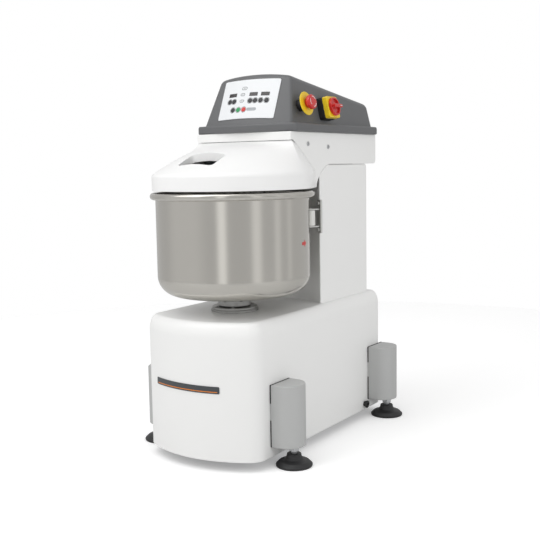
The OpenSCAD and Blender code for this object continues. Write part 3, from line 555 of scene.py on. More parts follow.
def gland():
    body = turned(
        [(4.5, -14, 0.3), (GLAND_R, -14, 0.5), (GLAND_R, 8.2, 0), (11, 8.2, 0.6),
         (11, 12.5, 1.5), (7.5, 14, 1), (4.5, 14, 0.3)], 48, 3
    )
    for low, high in ((0.2, 8.2), (-12, -5)):
        nut = combine(hexagon(13, low, high, 1), disc(7, -30, 30, 32))
        body = join(body, nut)
    return body


piece(
    "cable_entry_gland", gland(), [BLACK], ["cable_gland"],
    place=TO_ROW @ AT_GLAND @ Matrix.Diagonal((1, 1, 0.85, 1)),
)


BADGE_X, BADGE_LOW, BADGE_HIGH, BADGE_AT = 104.5, 196, 214, -93


def on_base_front(x, z, out):
    angle = rad(BADGE_AT) + x / FRONT_R
    r = FRONT_R + out
    return Vector((r * math.cos(angle), FRONT_CENTRE + r * math.sin(angle), z))


badge = paint(slab(rect(-BADGE_X, BADGE_LOW, BADGE_X, BADGE_HIGH, 3), 0.2, 1.7, 0.6), 0)
line = rect(5.5 - BADGE_X, BADGE_LOW + 3.4, BADGE_X - 5.5, BADGE_LOW + 5.4, 0.9)
line = paint(slab(line, 1.5, 1.85, 0.1, 1), 1)
badge = bend(join(badge, line), -BADGE_X, BADGE_X, 5, on_base_front)
piece("badge_bar", badge, [BADGE, ORANGE], ["name_plate"])

# ---- Column ----

CHEEK_CURVE_Y, GUARD_LOW, GUARD_CORNER_Y = 250, 687, 174
HEAD_X, HEAD_FRONT, HEAD_REAR, HEAD_LOW, HEAD_TOP = 150, 50, 528, 748, 833
# Low edge of the band above the guard, and the crease that runs from it down to the cheek
BAND_LOW, CREASE_TOP, CREASE_LOW = 811.2, (62, 811.8), (172, 732)
COLUMN_REAR, HOLLOW_R, COLUMN_CORNER = 485, 244, 25


def cheek_outline():
    """Side view of the head: crease, swept underside and rounded rear, as (y, z)."""
    reach = CHEEK_CURVE_Y - GUARD_CORNER_Y - 4
    curve = []
    for i in range(33):
        a = rad(90 * i / 32)
        curve.append(
            (
                CHEEK_CURVE_Y - reach * max(0.0, math.cos(a)) ** 1.25,
                GUARD_LOW + (HEAD_LOW - GUARD_LOW) * math.sin(a) ** 1.25,
            )
        )
    return (
        [(HEAD_FRONT, HEAD_TOP), (HEAD_FRONT, BAND_LOW), CREASE_TOP, CREASE_LOW]
        + [(GUARD_CORNER_Y - 1, GUARD_LOW)]
        + curve
        + arc(HEAD_REAR - 12, HEAD_LOW + 12, 12, 270, 360, 8)
        + [(HEAD_REAR, HEAD_TOP)]
    )


def column_outline(inset):
    """Plan of the column, whose front is hollowed round the bowl."""
    x, rear, r = HEAD_X - inset, COLUMN_REAR - inset, HOLLOW_R + inset
    start = math.degrees(math.acos(x / r))
    front = [(*p, 0) for p in arc(0, 0, r, 180 - start, start, 28)]
    front[0], front[-1] = (*front[0][:2], 3), (*front[-1][:2], 3)
    corner = COLUMN_CORNER - inset
    return rounded(front + [(x, rear, corner), (-x, rear, corner)])


def column():
    """Column cover, with a recess on each side for the cheeks of the head."""
    levels = [
        (-2.6, 370.1), (-1.2, 370.9), (-0.4, 372.8), (0, 376), (0, 739), (0.6, 743),
        (2.4, 746), (5, 747.5), (9, 747.5), (6.5, 743), (WALL, 738), (WALL, 370.1),
    ]
    shell = skin([level(column_outline(inset), z) for inset, z in levels], loop=True)
    cheek = offset(cheek_outline(), -0.5)
    for side in RIGHT_AND_LEFT:
        tool = skin([level(cheek, x) for x in across(side, HEAD_X - 4.6, HEAD_X + 10)])
        shell = combine(shell, moved(tool, ACROSS))
    return shell


piece("column_cover", column(), [WHITE], ["column_shell"])

# ---- Guard and head ----

GUARD_R, BAND_Z, GUARD_TOP, GUARD_BACK, GUARD_BULGE = 208, 727, 810.4, 54, 18
HINGE = (43, 796.5)
# Radii about the hinge where the guard ends and where the fixed skirt behind it begins
GUARD_END_R, SKIRT_R = 110, 111
# Direction in which the round front meets the straight side, in degrees
TANGENT = math.degrees(
    math.atan2(GUARD_CORNER_Y, HEAD_X) - math.acos(GUARD_R / math.hypot(HEAD_X, GUARD_CORNER_Y))
)


def guard_section(straight, round_share):
    """Closed section of the guard's wall.

    The shares say how far along its straight side and then round its front the section is.
    """
    angle = rad(lerp(TANGENT, -90, round_share))
    way = Vector((math.cos(angle), math.sin(angle)))
    swing = max(0.0, (round_share - 0.15) / 0.85)
    bulge = GUARD_BULGE * swing**0.7
    if straight < 1:
        low = Vector((HEAD_X, GUARD_CORNER_Y)).lerp(way * GUARD_R, straight)
        high_y = lerp(CREASE_LOW[0], CREASE_TOP[0], straight)
        high = Vector((HEAD_X, high_y, lerp(CREASE_LOW[1], GUARD_TOP + 0.1, straight)))
    else:
        low = way * GUARD_R
        high = Vector((HEAD_X * (1 - swing), GUARD_BACK, GUARD_TOP))

    def side(inset):
        """Line from the foot of the wall, round the edge above the band and up the slope."""
        foot = low - way * inset
        start = Vector((foot.x, foot.y, BAND_Z - inset))
        end = Vector((high.x * (1 - inset / HEAD_X), high.y, high.z - inset))

        def at(t):
            return start.lerp(end, t) + Vector((0, 0, 4 * bulge * t * (1 - t)))

        reach = 9 / max(20, (end - start).length)
        below = start - Vector((0, 0, 7))
        points = [Vector((foot.x, foot.y, GUARD_LOW + 1.2))]
        for i in range(7):
            s = i / 6
            points.append(below * (1 - s) ** 2 + start * (2 * s * (1 - s)) + at(reach) * s**2)
        return points + [at(lerp(reach, 1, i / 16)) for i in range(1, 17)]

    lip = [
        (low - way * inward).to_3d() + Vector((0, 0, GUARD_LOW + rise))
        for inward, rise in ((3.6, 0.3), (2.6, 0), (1.4, 0), (0.4, 0.3))
    ]
    return [tuple(p) for p in lip + side(0) + side(WALL)[::-1]]


def guard_wall():
    """The guard and the skirt behind it as one wall, before the seam is cut."""
    straight, round_front = 9, 120
    half = [guard_section(i / straight, 0) for i in range(straight)]
    half += [guard_section(1, i / round_front) for i in range(round_front + 1)]
    rest = [[(-x, y, z) for x, y, z in ring] for ring in half[-2::-1]]
    return skin(half + rest)


def hinge_cylinder(r):
    tool = disc(r, -260, 260, 256)
    return moved(tool, ACROSS @ shift(HINGE[0], HINGE[1], 0))


def head():
    """Hollow head with its cheeks, and the fixed skirt on both sides behind the guard."""
    body = moved(slab(cheek_outline(), -HEAD_X, HEAD_X, 1.4), ACROSS)
    inside = HEAD_X - WALL
    for tool in (
        plain_box((-inside, HEAD_FRONT + WALL, HEAD_LOW + WALL), (inside, HEAD_REAR - WALL, 900)),
        plain_box((-inside, -50, 600), (inside, CHEEK_CURVE_Y, BAND_LOW)),
        way_through(700, 780),
    ):
        body = combine(body, tool)
    skirt = combine(guard_wall(), hinge_cylinder(SKIRT_R))
    skirt = combine(skirt, plain_box((-260, -260, 600), (260, 60, 900)))
    return join(body, skirt)


piece("head_cover", head(), [WHITE], ["head_shell"])

SURFACE = guard_wall()
SURFACE_TREE = BVHTree.FromBMesh(SURFACE)


def guard_height(x, y):
    hit = SURFACE_TREE.ray_cast(Vector((x, y, 950)), Vector((0, 0, -1)))[0]
    return hit.z


# Pour opening in plan: half its width, its front and its back
POUR_X, POUR_FRONT, POUR_BACK = 54, -158, -97


def pour_outline(grow):
    return rect(
        -POUR_X - grow, POUR_FRONT - grow, POUR_X + grow, POUR_BACK + grow, 12 + grow, 10
    )


def dense(outline, step):
    """The outline with more points, no further apart than about step."""
    out = []
    for i, p in enumerate(outline):
        q = outline[(i + 1) % len(outline)]
        count = max(1, round(math.dist(p, q) / step))
        out += [(lerp(p[0], q[0], k / count), lerp(p[1], q[1], k / count)) for k in range(count)]
    return out


def pour_frame():
    """Raised rim round the pour opening, with a short chute below it."""
    edge = dense(pour_outline(0), 4)
    heights = [guard_height(*p) for p in offset(edge, -4.5)]

    def chute(y):
        return -lerp(10, 20, (y - POUR_FRONT) / (POUR_BACK - POUR_FRONT))

    rings = []
    for grow, rise in (
        (3, -1), (2.8, 0.5), (2, 1.3), (1, 1.3), (0.2, 0.6), (0, -0.6), (0, None), (3, None)
    ):
        points = zip(offset(edge, -grow), heights)
        rings.append([(x, y, z + (chute(y) if rise is None else rise)) for (x, y), z in points])
    return skin(rings, loop=True)


def lid():
    front = plain_box((-240, -240, 600), (240, 46.5, 900))
    reach = combine(front, hinge_cylinder(GUARD_END_R), "UNION")
    wall = combine(guard_wall(), reach, "INTERSECT")
    above_crease = [(42, 810.9), (62, 811.2), (172, 731.3), (232, 731.3), (232, 860), (42, 860)]
    tool = skin([level(above_crease, x) for x in (-HEAD_X - 20, HEAD_X + 20)])
    wall = combine(wall, moved(tool, ACROSS))
    hole = pour_outline(0.5)
    wall = combine(wall, skin([level(hole, 600), level(hole, 900)]))
    lugs = []
    for side in RIGHT_AND_LEFT:
        outline = arc(0, 0, 9, 180, 360, 20) + [(8, 10), (-10, 6), (-16, 5)]
        lug = slab(outline, *across(side, 94, 102), 0.6, 2)
        lug = combine(lug, disc(4.05, -120, 120, 48))
        lugs.append(moved(lug, ACROSS @ shift(HINGE[0], HINGE[1], 0)))
    return join(wall, pour_frame(), *lugs)


piece("bowl_guard", lid(), [GUARD], ["lid"])
SURFACE.free()

screws = []
for side in RIGHT_AND_LEFT:
    for y, z in ((135, 802), (241, 795)):
        dome = turned([(0, 0, 0), (6, 0, 0.2), (6, 0.9, 0.5), (4.6, 2.3, 1.2), (0, 2.4, 0)], 40, 3)
        screw = combine(dome, disc(2.4, 1, 4, 6))
        place = shift(side * (HEAD_X + 0.1), y, z) @ turn(side * 90, "Y")
        screws.append(moved(screw, place))
piece("cheek_screws", join(*screws), [ZINC], ["head_screws"])

# ---- Top cover ----

# Leans of the front, sides and rear, and the fall of the top towards the rear, in degrees
FACE_LEAN, SIDE_SLOPE = 22.5, 12.3
LEAN, SIDE_LEAN, REAR_LEAN, SLOPE = rad(FACE_LEAN), rad(SIDE_SLOPE), rad(5.5), rad(8)
FACE_R, CROWN_R = 525, 760
LIP_TOP, FACE_Y, COVER_X, COVER_REAR, PEAK = 855, 52, 140, 529, (108, 990)
LIP_X, LIP_FRONT, LIP_REAR, COVER_HIGH = 160, 40, 534, 1000


def bow(x, r):
    """How far a circle of radius r falls back at x from its middle."""
    return r - math.sqrt(r * r - x * x)


def cover_height(x, y, inset):
    drop = bow(x, CROWN_R) + inset + math.sin(SLOPE) * (y - PEAK[0])
    return PEAK[1] - drop / math.cos(SLOPE)


def ring_outline(half_x, front, rear, front_corner, rear_corner, scale=1.0):
    """Outline with a bowed front. front(x) is how far back it lies."""
    xs = [lerp(-half_x, half_x, i / 24) for i in range(25)]
    bowed = [(x, front(x), 0) for x in xs]
    bowed[0] = (*bowed[0][:2], front_corner)
    bowed[-1] = (*bowed[-1][:2], front_corner)
    sides = [(half_x, lerp(front(half_x), rear, i / 8), 0) for i in range(1, 8)]
    back = [(lerp(half_x, -half_x, i / 8), rear, 0) for i in range(1, 8)]
    other = [(-x, y, r) for x, y, r in sides[::-1]]
    corners = bowed + sides + [(half_x, rear, rear_corner)] + back
    return rounded(corners + [(-half_x, rear, rear_corner)] + other, 7)


def lip_outline(inset):
    return ring_outline(
        LIP_X - inset, lambda x: LIP_FRONT + inset + bow(x, FACE_R - inset), LIP_REAR - inset,
        max(1.0, 10 - inset * 0.6), 22 - inset * 0.8,
    )


def body_outline(z, inset):
    rise = z - LIP_TOP
    return ring_outline(
        COVER_X - rise * math.tan(SIDE_LEAN) - inset / math.cos(SIDE_LEAN),
        lambda x: FACE_Y
        + (bow(x, FACE_R - inset) + inset) / math.cos(LEAN)
        + rise * math.tan(LEAN),
        COVER_REAR - rise * math.tan(REAR_LEAN) - inset,
        max(2.0, 9 - inset), max(3.0, 14 - inset),
    )


# Rounding of the edge between sides and crown, and how full it is
CROWN_EDGE, ROUNDNESS = 13, 0.72


def cover_body(inset, foot):
    """Rings of the cover from its foot up to the line along the middle of its crown."""
    low, high = body_outline(LIP_TOP, inset), body_outline(COVER_HIGH, inset)

    def column_at(j, z):
        t = (z - LIP_TOP) / (COVER_HIGH - LIP_TOP)
        return Vector((lerp(low[j][0], high[j][0], t), lerp(low[j][1], high[j][1], t), z))

    columns = []
    for j in range(len(low)):
        z0, z1 = LIP_TOP, COVER_HIGH
        for _ in range(40):
            z = (z0 + z1) / 2
            p = column_at(j, z)
            if z < cover_height(p.x, p.y, inset):
                z0 = z
            else:
                z1 = z
        edge = column_at(j, z0)
        middle = Vector((0, min(440, max(190, edge.y))))
        inward = (middle - edge.xy).normalized()
        bottom = column_at(j, foot)
        along = (bottom - edge).normalized()
        reach = CROWN_EDGE - inset
        a = edge + along * reach
        b_xy = edge.xy + inward * reach
        b = Vector((b_xy.x, b_xy.y, cover_height(b_xy.x, b_xy.y, inset)))
        points = [bottom.lerp(a, i / 5) for i in range(6)]
        for i in range(1, 8):
            t = i / 8
            w = (1 - t) ** 2, 2 * ROUNDNESS * t * (1 - t), t * t
            points.append((a * w[0] + edge * w[1] + b * w[2]) / sum(w))
        for i in range(13):
            p = b_xy.lerp(middle, i / 12)
            points.append(Vector((p.x, p.y, cover_height(p.x, p.y, inset))))
        columns.append(points)
    return [[tuple(c[i]) for c in columns] for i in range(len(columns[0]))]


def cover():
    outer = [
        level(lip_outline(inset), z)
        for inset, z in (
            (4, 833.1), (1.4, 833.9), (0.3, 835.2), (0, 837.5), (0, 849), (0.5, 851.8),
            (1.6, 854), (3.2, 855),
        )
    ]
    outer.append(level(offset(body_outline(LIP_TOP, 0), -1.2), LIP_TOP))
    outer.append(level(offset(body_outline(LIP_TOP + 1, 0), -0.4), LIP_TOP + 0.9))
    outer += cover_body(0, LIP_TOP + 3)
    inner = [level(lip_outline(14), z) for z in (833.1, 849)]
    inner.append(level(body_outline(LIP_TOP - 4, 6), 850.5))
    inner += cover_body(WALL, LIP_TOP)
    return skin(inner[::-1] + outer, caps=False)


piece("control_cover", cover(), [COVER], ["top_cover"], sharp=40)

# ---- Control panel ----

PANEL_X, PANEL_LOW, PANEL_HIGH = 89, 17, 129.5
ON_FACE = shift(0, FACE_Y, LIP_TOP) @ turn(-FACE_LEAN, "X")
# Places on the film as shares of its width and of its height, from the top left
KEY_PLACES = {
    "key_speed_1": (0.172, 0.55),
    "key_speed_2": (0.254, 0.55),
    "key_timer_up": (0.547, 0.55),
    "key_timer_down": (0.634, 0.55),
    "key_bowl_left": (0.73, 0.55),
    "key_bowl_right": (0.83, 0.55),
    "key_light": (0.264, 0.77),
    "key_start": (0.364, 0.77),
    "key_stop": (0.464, 0.77),
}
WINDOW_PLACES = ((0.21, 0.385), (0.587, 0.385), (0.789, 0.385))


def flat_place(place):
    return lerp(-PANEL_X, PANEL_X, place[0]), lerp(PANEL_HIGH, PANEL_LOW, place[1])


def on_face(x, up, out):
    """Moves a point of the flat film onto the bowed face of the cover."""
    angle = x / FACE_R
    r = FACE_R + out
    return ON_FACE @ Vector((r * math.sin(angle), FACE_R - r * math.cos(angle), up))


def patch(place, width, height, r, low, high, edge, index):
    """Thin rounded rectangle at a place on the film."""
    x, up = flat_place(place)
    outline = rect(x - width / 2, up - height / 2, x + width / 2, up + height / 2, r, 8)
    return paint(slab(outline, low, high, edge, 2), index)


def panel():
    film = slab(rect(-PANEL_X, PANEL_LOW, PANEL_X, PANEL_HIGH, 4.5), 0.1, 2, 0.4, 2)
    holes = [moved(disc(6.9, -5, 10, 64), shift(*flat_place(p), 0)) for p in KEY_PLACES.values()]
    holes += [patch(p, 26, 11, 1.2, -5, 10, 0.1, 0) for p in WINDOW_PLACES]
    film = paint(combine(film, join(*holes)), 0)
    marks = []
    for place, w, h in (
        ((0.405, 0.225), 17, 9), ((0.394, 0.385), 14, 8), ((0.40, 0.55), 14, 8)
    ):
        marks.append(patch(place, w, h, h / 2 - 0.1, 1.9, 2.1, 0.05, 1))
        marks.append(patch(place, w - 3, h - 3, h / 2 - 1.7, 2.0, 2.18, 0.05, 2))
        marks.append(patch(place, w - 9, 1.2, 0.5, 2.1, 2.26, 0.05, 1))
    marks.append(patch((0.60, 0.77), 30, 9, 4.4, 1.9, 2.12, 0.05, 3))
    for place in KEY_PLACES.values():
        ring = combine(disc(8.6, 1.9, 2.1, 64), disc(7.7, 1, 3, 64))
        marks.append(paint(moved(ring, shift(*flat_place(place), 0)), 1))
    return bend(join(film, *marks), -PANEL_X, PANEL_X, 6, on_face)


piece(
    "control_film", panel(), [FILM, MARK_DARK, FILM, MARK_GREY], ["control_panel"],
    sharp=28,
)


def windows():
    """Smoked windows, each with three unlit digits."""
    parts = []
    for place in WINDOW_PLACES:
        parts.append(patch(place, 25.6, 10.6, 1, 1.5, 2.35, 0.25, 0))
        x, up = flat_place(place)
        for digit in (-6, 0, 6):
            for dx, dy, w, h in (
                (0, 3, 2.2, 0.5), (0, 0, 2.2, 0.5), (0, -3, 2.2, 0.5), (-1.5, 1.5, 0.5, 2.2),
                (1.5, 1.5, 0.5, 2.2), (-1.5, -1.5, 0.5, 2.2), (1.5, -1.5, 0.5, 2.2),
            ):
                outline = rect(-w / 2, -h / 2, w / 2, h / 2, 0.2, 2)
                segment = paint(slab(outline, 2.3, 2.39, 0.02, 1), 1)
                parts.append(moved(segment, shift(x + digit + dx, up + dy, 0)))
    return bend(join(*parts), -PANEL_X, PANEL_X, 6, on_face)


piece("display_glass", windows(), [WINDOW, SEGMENT], ["display_windows"])


def key_cap():
    return turned(
        [(0, 1, 0), (6.5, 1, 0.2), (6.5, 2.6, 0.7), (5.2, 3.15, 1), (0, 3.2, 0)], 64, 4
    )


for name, place in KEY_PLACES.items():
    x, up = flat_place(place)
    where = ON_FACE @ shift(0, FACE_R, up) @ Matrix.Rotation(x / FACE_R, 4, "Z")
    where = TO_ROW @ where @ shift(0, -FACE_R, 0) @ turn(90, "X")
    colour = {"key_start": KEY_GREEN, "key_stop": KEY_RED}.get(name, KEY_BLACK)
    slot = {"key_start": "key_green", "key_stop": "key_red"}.get(name, "key_black")
    piece("cap_" + name, key_cap(), [colour], [name], place=where)

# ---- Switches on the right side ----


def on_side(y, z):
    """Place on the sloping right side of the cover, its Z pointing outwards."""
    x = COVER_X - (z - LIP_TOP) * math.tan(SIDE_LEAN)
    return TO_ROW @ shift(x, y, z) @ turn(90 - SIDE_SLOPE, "Y")


STOP, SWITCH = on_side(126.5, 901), on_side(250, 895)
piece(
    "stop_collar",
    turned(
        [(0, 0.2, 0), (16, 0.2, 0.6), (16, 21.2, 1), (11.4, 21.2, 0.4), (11.4, 3.2, 0),
         (0, 3.2, 0)]
    ),
    [BLACK], ["e_stop_collar"], place=STOP,
)
piece(
    "stop_disc",
    turned([(11.4, 21.3, 0), (31, 21.3, 1), (31, 24.2, 1.2), (11.4, 24.2, 0.4)]),
    [YELLOW], ["e_stop_ring"], place=STOP,
)


def mushroom():
    """Emergency-stop button with three turn marks on its face."""
    head_part = turned(
        [(0, 9, 0), (11, 9, 0.3), (11, 28.8, 0.8), (15.2, 29, 1), (19, 34, 2.5), (19, 43.2, 3),
         (12, 44, 6), (0, 44, 0)], 96
    )
    marks = []
    for start in (0, 120, 240):
        end = start + 70
        outline = arc(0, 0, 14.2, start, end, 16) + arc(0, 0, 12.6, end, start, 16)
        marks.append(paint(slab(outline, 43.2, 44.12, 0.1, 1), 1))
    return join(head_part, *marks)


piece("stop_mushroom", mushroom(), [RED, MARK_WHITE], ["e_stop_button"], place=STOP)
piece(
    "switch_case", slab(rect(-30, -30, 30, 30, 8), 0.2, 18.2, 2, 4, low_edge=0.6), [BLACK],
    ["switch_box"], place=SWITCH,
)
plate = slab(rect(-29, -29, 29, 29, 6), 18.25, 32.2, 1.6, 4, low_edge=0.4)
plate = combine(plate, disc(9.1, 22.2, 40))
piece("switch_face", plate, [YELLOW], ["switch_plate"], place=SWITCH)


def knob():
    """Round dial with a rim, a grip bar across it and a pointer line."""
    dial = turned(
        [(0, 22.5, 0), (8.9, 22.5, 0.3), (8.9, 32.6, 0.3), (25, 32.6, 0.6), (25, 40.4, 1.6),
         (20, 40.4, 1), (19.6, 35.8, 1.2), (0, 35.6, 0)], 96
    )
    grip = slab(rect(-4.6, -21, 4.6, 21, 2.6), 35, 50, 1.8, 4, low_edge=0.3)
    mark = paint(slab(rect(-0.8, 8, 0.8, 18.5, 0.5), 49.5, 50.12, 0.1, 1), 1)
    return join(dial, grip, mark)


piece("switch_dial", knob(), [RED, MARK_WHITE], ["switch_knob"], place=SWITCH)

# ---- Bowl and its drive ----

BOWL_R, BOWL_WALL, BOWL_LOW, CORNER_R, RIM_Z, BEAD_R, BEAD_X = 200, 3, 409, 52, 673, 8.9, 205
FLAT_R, CORNER_Z = BOWL_R - CORNER_R, 415 + CORNER_R


def bowl():
    """Bowl with a rolled rim, and the red arrow that shows which way it turns."""
    inside = BOWL_R - BOWL_WALL
    outer = [(0, BOWL_LOW), (60, BOWL_LOW), (64, BOWL_LOW + 0.1), (FLAT_R, CORNER_Z - CORNER_R)]
    outer += arc(FLAT_R, CORNER_Z, CORNER_R, -88, 0, 28)
    outer += [(BOWL_R, CORNER_Z + 3 + 24 * i) for i in range(8)]
    outer += [(BOWL_R, 662.5), (BOWL_R + 0.3, 664.4)]
    bead = arc(BEAD_X, RIM_Z, BEAD_R, -118, 154, 40)
    inner = [(inside, 672), (inside, 640), (inside, 560), (inside, CORNER_Z)]
    inner += arc(FLAT_R, CORNER_Z, CORNER_R - BOWL_WALL, 0, -88, 28)
    inner += [(FLAT_R, CORNER_Z - CORNER_R + BOWL_WALL), (62, BOWL_LOW + BOWL_WALL)]
    inner += [(0, BOWL_LOW + BOWL_WALL)]
    shell = lathe(outer + bead + inner, 256)
    shaft = [(0, -4), (14, -4), (14, -9), (25, 0), (14, 9), (14, 4), (0, 4)]
    sign = slab([(x - 12, y) for x, y in shaft], 0.05, 0.35, 0.05, 1)

    def on_bowl(x, up, out):
        angle = rad(9) + x / BOWL_R
        r = BOWL_R + out
        return Vector((r * math.cos(angle), r * math.sin(angle), 550 + up))

    return join(paint(shell, 0), paint(bend(sign, -14, 14, 3, on_bowl), 1))


piece("mixing_bowl", bowl(), [STEEL, ARROW], ["bowl"], sharp=40)


def bolts(radius, r, low, high, start=0):
    """Six hexagon heads in a circle."""
    return [
        moved(hexagon(r, low, high, 0.6), turn(start + 60 * i, "Z") @ shift(radius, 0, 0))
        for i in range(6)
    ]


SHAFT_R = 20
BORE_R = SHAFT_R + 0.1
hub = turned(
    [(BORE_R, 384, 0.6), (44, 384, 1.2), (44, 401, 3), (58, 401, 1), (58, 408.9, 0.8),
     (BORE_R, 408.9, 0)]
)
piece("turntable_hub", join(hub, *bolts(51, 5, 396, 401.5, 30)), [HUB], ["bowl_hub"])
piece(
    "turntable_shaft",
    turned([(0, 190, 0), (SHAFT_R, 190, 1.5), (SHAFT_R, 405, 1.5), (0, 405, 0)], 96),
    [SHAFT], ["bowl_shaft"],
)
housing = turned(
    [(BORE_R, 270, 0.6), (50, 270, 2), (50, 370.1, 0), (62.5, 370.1, 0.6), (62.5, 376, 1.2),
     (59.5, 376, 0.8), (59.5, 382, 1.4), (BORE_R, 382, 1)]
)
piece(
    "turntable_bearing", join(housing, *bolts(52, 4.5, 381, 384)), [HUB],
    ["bowl_bearing_housing"],
)

# Guide rollers at the column, on pins between two arms
ROLLER_AT = 214
brackets = []
for side in RIGHT_AND_LEFT:
    around = turn(50 if side > 0 else 130, "Z")
    upright = moved(slab(rect(-13, 564, 13, 654, 4), 238, 243.4, 0.8, 3), ACROSS)
    arms = [slab(rect(206, -9, 238.5, 9, 4), z, z + 4, 0.6) for z in (580.5, 626.5)]
    pin = turned([(0, 579, 0), (4, 579, 0.6), (4, 632, 0.6), (0, 632, 0)], 32, 3)
    pin = moved(pin, shift(ROLLER_AT, 0, 0))
    heads = [moved(hexagon(6, -4, 0.3, 0.8), shift(238, 0, z) @ turn(90, "Y")) for z in (574, 644)]
    for part in (upright, *arms, pin, *heads):
        brackets.append(moved(part, around))
    roller = turned([(4.1, 585, 0.5), (13, 585, 2), (13, 626, 2), (4.1, 626, 0.5)], 64)
    roller = moved(roller, around @ shift(ROLLER_AT, 0, 0))
    name = "roller_right" if side > 0 else "roller_left"
    piece("guide_" + name, roller, [ROLLER], [name])
piece("roller_mounts", join(*brackets), [BRACKET], ["roller_brackets"])

# ---- Spiral ----

SPIRAL_R, SPIRAL_TURNS, SPIRAL_BAR_R, SPIRAL_TOP, SPIRAL_LOW = 61, 1.3, 13, 652, 451
AT_SPIRAL = TO_ROW @ shift(0, 100, 0)


def spiral_point(t):
    """Path of the spiral: out from the shaft, down round the axis, in again at the foot."""
    out, fold = min(1.0, t / 0.16), max(0.0, (t - 0.86) / 0.14)
    r = SPIRAL_R * (math.sin(math.pi / 2 * out) - 0.42 * fold * fold)
    a = rad(360 * SPIRAL_TURNS * t + 90)
    return Vector((r * math.cos(a), r * math.sin(a), lerp(SPIRAL_TOP, SPIRAL_LOW, t**1.08)))


def spiral():
    """Round bar along the path, closed by a rounded tip, and the hub on the shaft."""
    steps, sides = 170, 24
    angles = [2 * math.pi * i / sides for i in range(sides)]
    rings = []
    for k in range(steps + 1):
        t = k / steps
        p = spiral_point(t)
        along = (spiral_point(min(1, t + 0.004)) - spiral_point(max(0, t - 0.004))).normalized()
        side = along.cross(Vector((0, 0, 1))).normalized()
        up = side.cross(along)
        tip = math.sqrt(max(0.0, 1 - max(0.0, (k - steps + 4) / 4.2) ** 2))
        r = SPIRAL_BAR_R * tip
        rings.append([tuple(p + (side * math.cos(a) - up * math.sin(a)) * r) for a in angles])
    hub_part = turned(
        [(BORE_R, 641.8, 0), (BORE_R, 682, 0.5), (30, 682, 2), (30, 638, 3), (0, 638, 0),
         (0, 641.8, 0)]
    )
    bar = combine(skin(rings), disc(SHAFT_R + 0.05, 641.8, 720, 64))
    return join(bar, hub_part)


piece(
    "dough_hook", spiral(), [SHAFT], ["spiral_hook"], place=AT_SPIRAL, sharp=40,
)
piece(
    "hook_shaft",
    turned([(0, 642, 0), (SHAFT_R, 642, 1), (SHAFT_R, 780, 2), (0, 780, 0)], 96),
    [SHAFT], ["spiral_shaft"], place=AT_SPIRAL,
)
bearing = turned(
    [(BORE_R, 692, 0.6), (42, 692, 3), (42, 742, 2), (58, 742, 1), (58, 751.9, 0.5),
     (42, 751.9, 0), (42, 759, 0.5), (BORE_R, 759, 0.5)]
)
piece(
    "hook_bearing", join(bearing, *bolts(50, 4.5, 739, 742.2)), [HUB],
    ["spiral_bearing_housing"], place=AT_SPIRAL,
)
BREAKER_R = 12
bar = [(0, 762), (BREAKER_R, 762), (BREAKER_R, 700), (BREAKER_R, 560)]
bar = lathe(bar + arc(0, 428, BREAKER_R, 0, -90, 14), 64)
piece(
    "dough_breaker",
    join(
        moved(bar, shift(0, -BREAKER_R, 0)),
        box((-14, -26, 754), (14, 4.3, 774), 1.2),
        box((-36, 4, 754), (36, 12, 774), 1),
    ),
    [SHAFT], ["breaker_bar"],
)

# ---- Floor, light and camera ----

scene = bpy.context.scene


def floor_finish():
    """Pale floor that looks white to the camera and lights the object a little less."""
    material = bpy.data.materials.new("floor")
    material.use_nodes = True
    nodes, links = material.node_tree.nodes, material.node_tree.links
    shader = nodes["Principled BSDF"]
    shader.inputs["Roughness"].default_value = 0.9
    shader.inputs["Specular IOR Level"].default_value = 0.0
    shader.inputs["Emission Color"].default_value = (1, 1, 1, 1)
    path = nodes.new("ShaderNodeLightPath")
    for socket, unseen, shown in (("Base Color", 0.66, 0.9), ("Emission Strength", 0.05, 0.26)):
        choice = add_node(nodes, "MapRange", To_Min=unseen, To_Max=shown)
        links.new(path.outputs["Is Camera Ray"], choice.inputs["Value"])
        links.new(choice.outputs["Result"], shader.inputs[socket])
    return material


FLOOR_R = 2.4
floor_mesh = bpy.data.meshes.new("floor")
floor_rim = level(arc(0, 0, FLOOR_R, 0, 357, 119), 0)
floor_mesh.from_pydata(floor_rim, [], [tuple(range(len(floor_rim)))])
floor_mesh.materials.append(floor_finish())
floor = bpy.data.objects.new("floor", floor_mesh)
scene.collection.objects.link(floor)

# Bright strips of the room, in degrees about the upright: direction, half width and strength
STRIPS = ((-71, 9, 0.7), (-20, 10, 0.45), (14, 7, 0.3), (37, 6, 0.2), (-130, 45, 0.15))
ROOM_LEVEL, ROOM_RISE = 0.74, 0.1


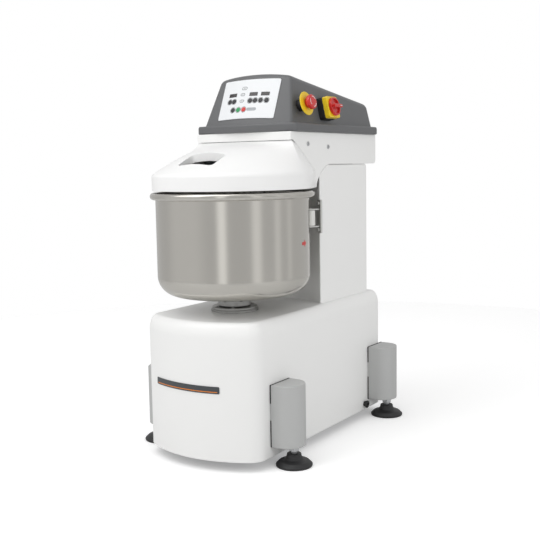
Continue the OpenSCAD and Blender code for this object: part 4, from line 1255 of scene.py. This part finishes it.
def studio():
    """White to the camera; a soft room with a few bright strips to everything else."""
    world = bpy.data.worlds.new("studio")
    scene.world = world
    world.use_nodes = True
    nodes, links = world.node_tree.nodes, world.node_tree.links
    nodes.clear()

    def math_node(operation, *values):
        node = nodes.new("ShaderNodeMath")
        node.operation = operation
        for i, value in enumerate(values):
            if isinstance(value, (int, float)):
                node.inputs[i].default_value = value
            else:
                links.new(value, node.inputs[i])
        return node.outputs[0]

    where = nodes.new("ShaderNodeTexCoord")
    parts = nodes.new("ShaderNodeSeparateXYZ")
    links.new(where.outputs["Generated"], parts.inputs[0])
    azimuth = math_node("ARCTAN2", parts.outputs["Y"], parts.outputs["X"])
    total = math_node("ADD", math_node("MULTIPLY", parts.outputs["Z"], ROOM_RISE), ROOM_LEVEL)
    for centre, width, strength in STRIPS:
        away = math_node("ABSOLUTE", math_node("SUBTRACT", azimuth, rad(centre)))
        ramp = add_node(nodes, "MapRange", From_Min=rad(width), From_Max=rad(width) * 0.35)
        ramp.interpolation_type = "SMOOTHSTEP"
        links.new(away, ramp.inputs["Value"])
        total = math_node("ADD", total, math_node("MULTIPLY", ramp.outputs["Result"], strength))
    room = nodes.new("ShaderNodeBackground")
    links.new(total, room.inputs["Strength"])
    seen = add_node(nodes, "Background", Strength=1.0, Color=(1, 1, 1, 1))
    path = nodes.new("ShaderNodeLightPath")
    mix = nodes.new("ShaderNodeMixShader")
    links.new(path.outputs["Is Camera Ray"], mix.inputs[0])
    links.new(room.outputs[0], mix.inputs[1])
    links.new(seen.outputs[0], mix.inputs[2])
    out = nodes.new("ShaderNodeOutputWorld")
    links.new(mix.outputs[0], out.inputs["Surface"])


studio()


def area(name, location, target, size, power, mirrored=True):
    """Soft square light, left out of mirror reflections if mirrored is false."""
    light = bpy.data.lights.new(name, "AREA")
    light.shape = "RECTANGLE"
    light.size, light.size_y = size
    light.energy = power
    obj = bpy.data.objects.new(name, light)
    obj.location = location
    obj.rotation_mode = "QUATERNION"
    obj.rotation_quaternion = (Vector(target) - Vector(location)).to_track_quat("-Z", "Y")
    obj.visible_glossy = mirrored
    scene.collection.objects.link(obj)


area("key", (-1.2, -1.9, 2.8), (0, 0, 0.5), (2.2, 2.2), 20)
area("front", (-0.7, -2.5, 1.3), (0, 0, 0.4), (1.6, 0.8), 9, mirrored=False)
area("top", (-0.2, -0.9, 3.0), (0, -0.1, 0.5), (1.6, 1.6), 10)
area("side", (2.3, -0.5, 0.9), (0, 0, 0.6), (1.4, 1.2), 9, mirrored=False)

# The photograph's view, with turns in radians and the place in metres
CAMERA_AT, LENS, SENSOR = (1.349, -2.030, 0.747), 58.75, 36
yaw, pitch, roll = 0.584, 0.118, -0.017
camera = bpy.data.cameras.new("camera")
camera.lens = LENS
camera.sensor_width = SENSOR
camera_object = bpy.data.objects.new("camera", camera)
forward = Vector(
    (-math.sin(yaw) * math.cos(pitch), math.cos(yaw) * math.cos(pitch), -math.sin(pitch))
)
level_right = Vector((math.cos(yaw), math.sin(yaw), 0))
level_up = level_right.cross(forward)
right = level_right * math.cos(roll) + level_up * math.sin(roll)
up = level_up * math.cos(roll) - level_right * math.sin(roll)
axes = Matrix((right, up, -forward)).transposed().to_4x4()
camera_object.matrix_world = shift(*CAMERA_AT) @ axes
scene.collection.objects.link(camera_object)
scene.camera = camera_object
scene.view_settings.view_transform = "Standard"
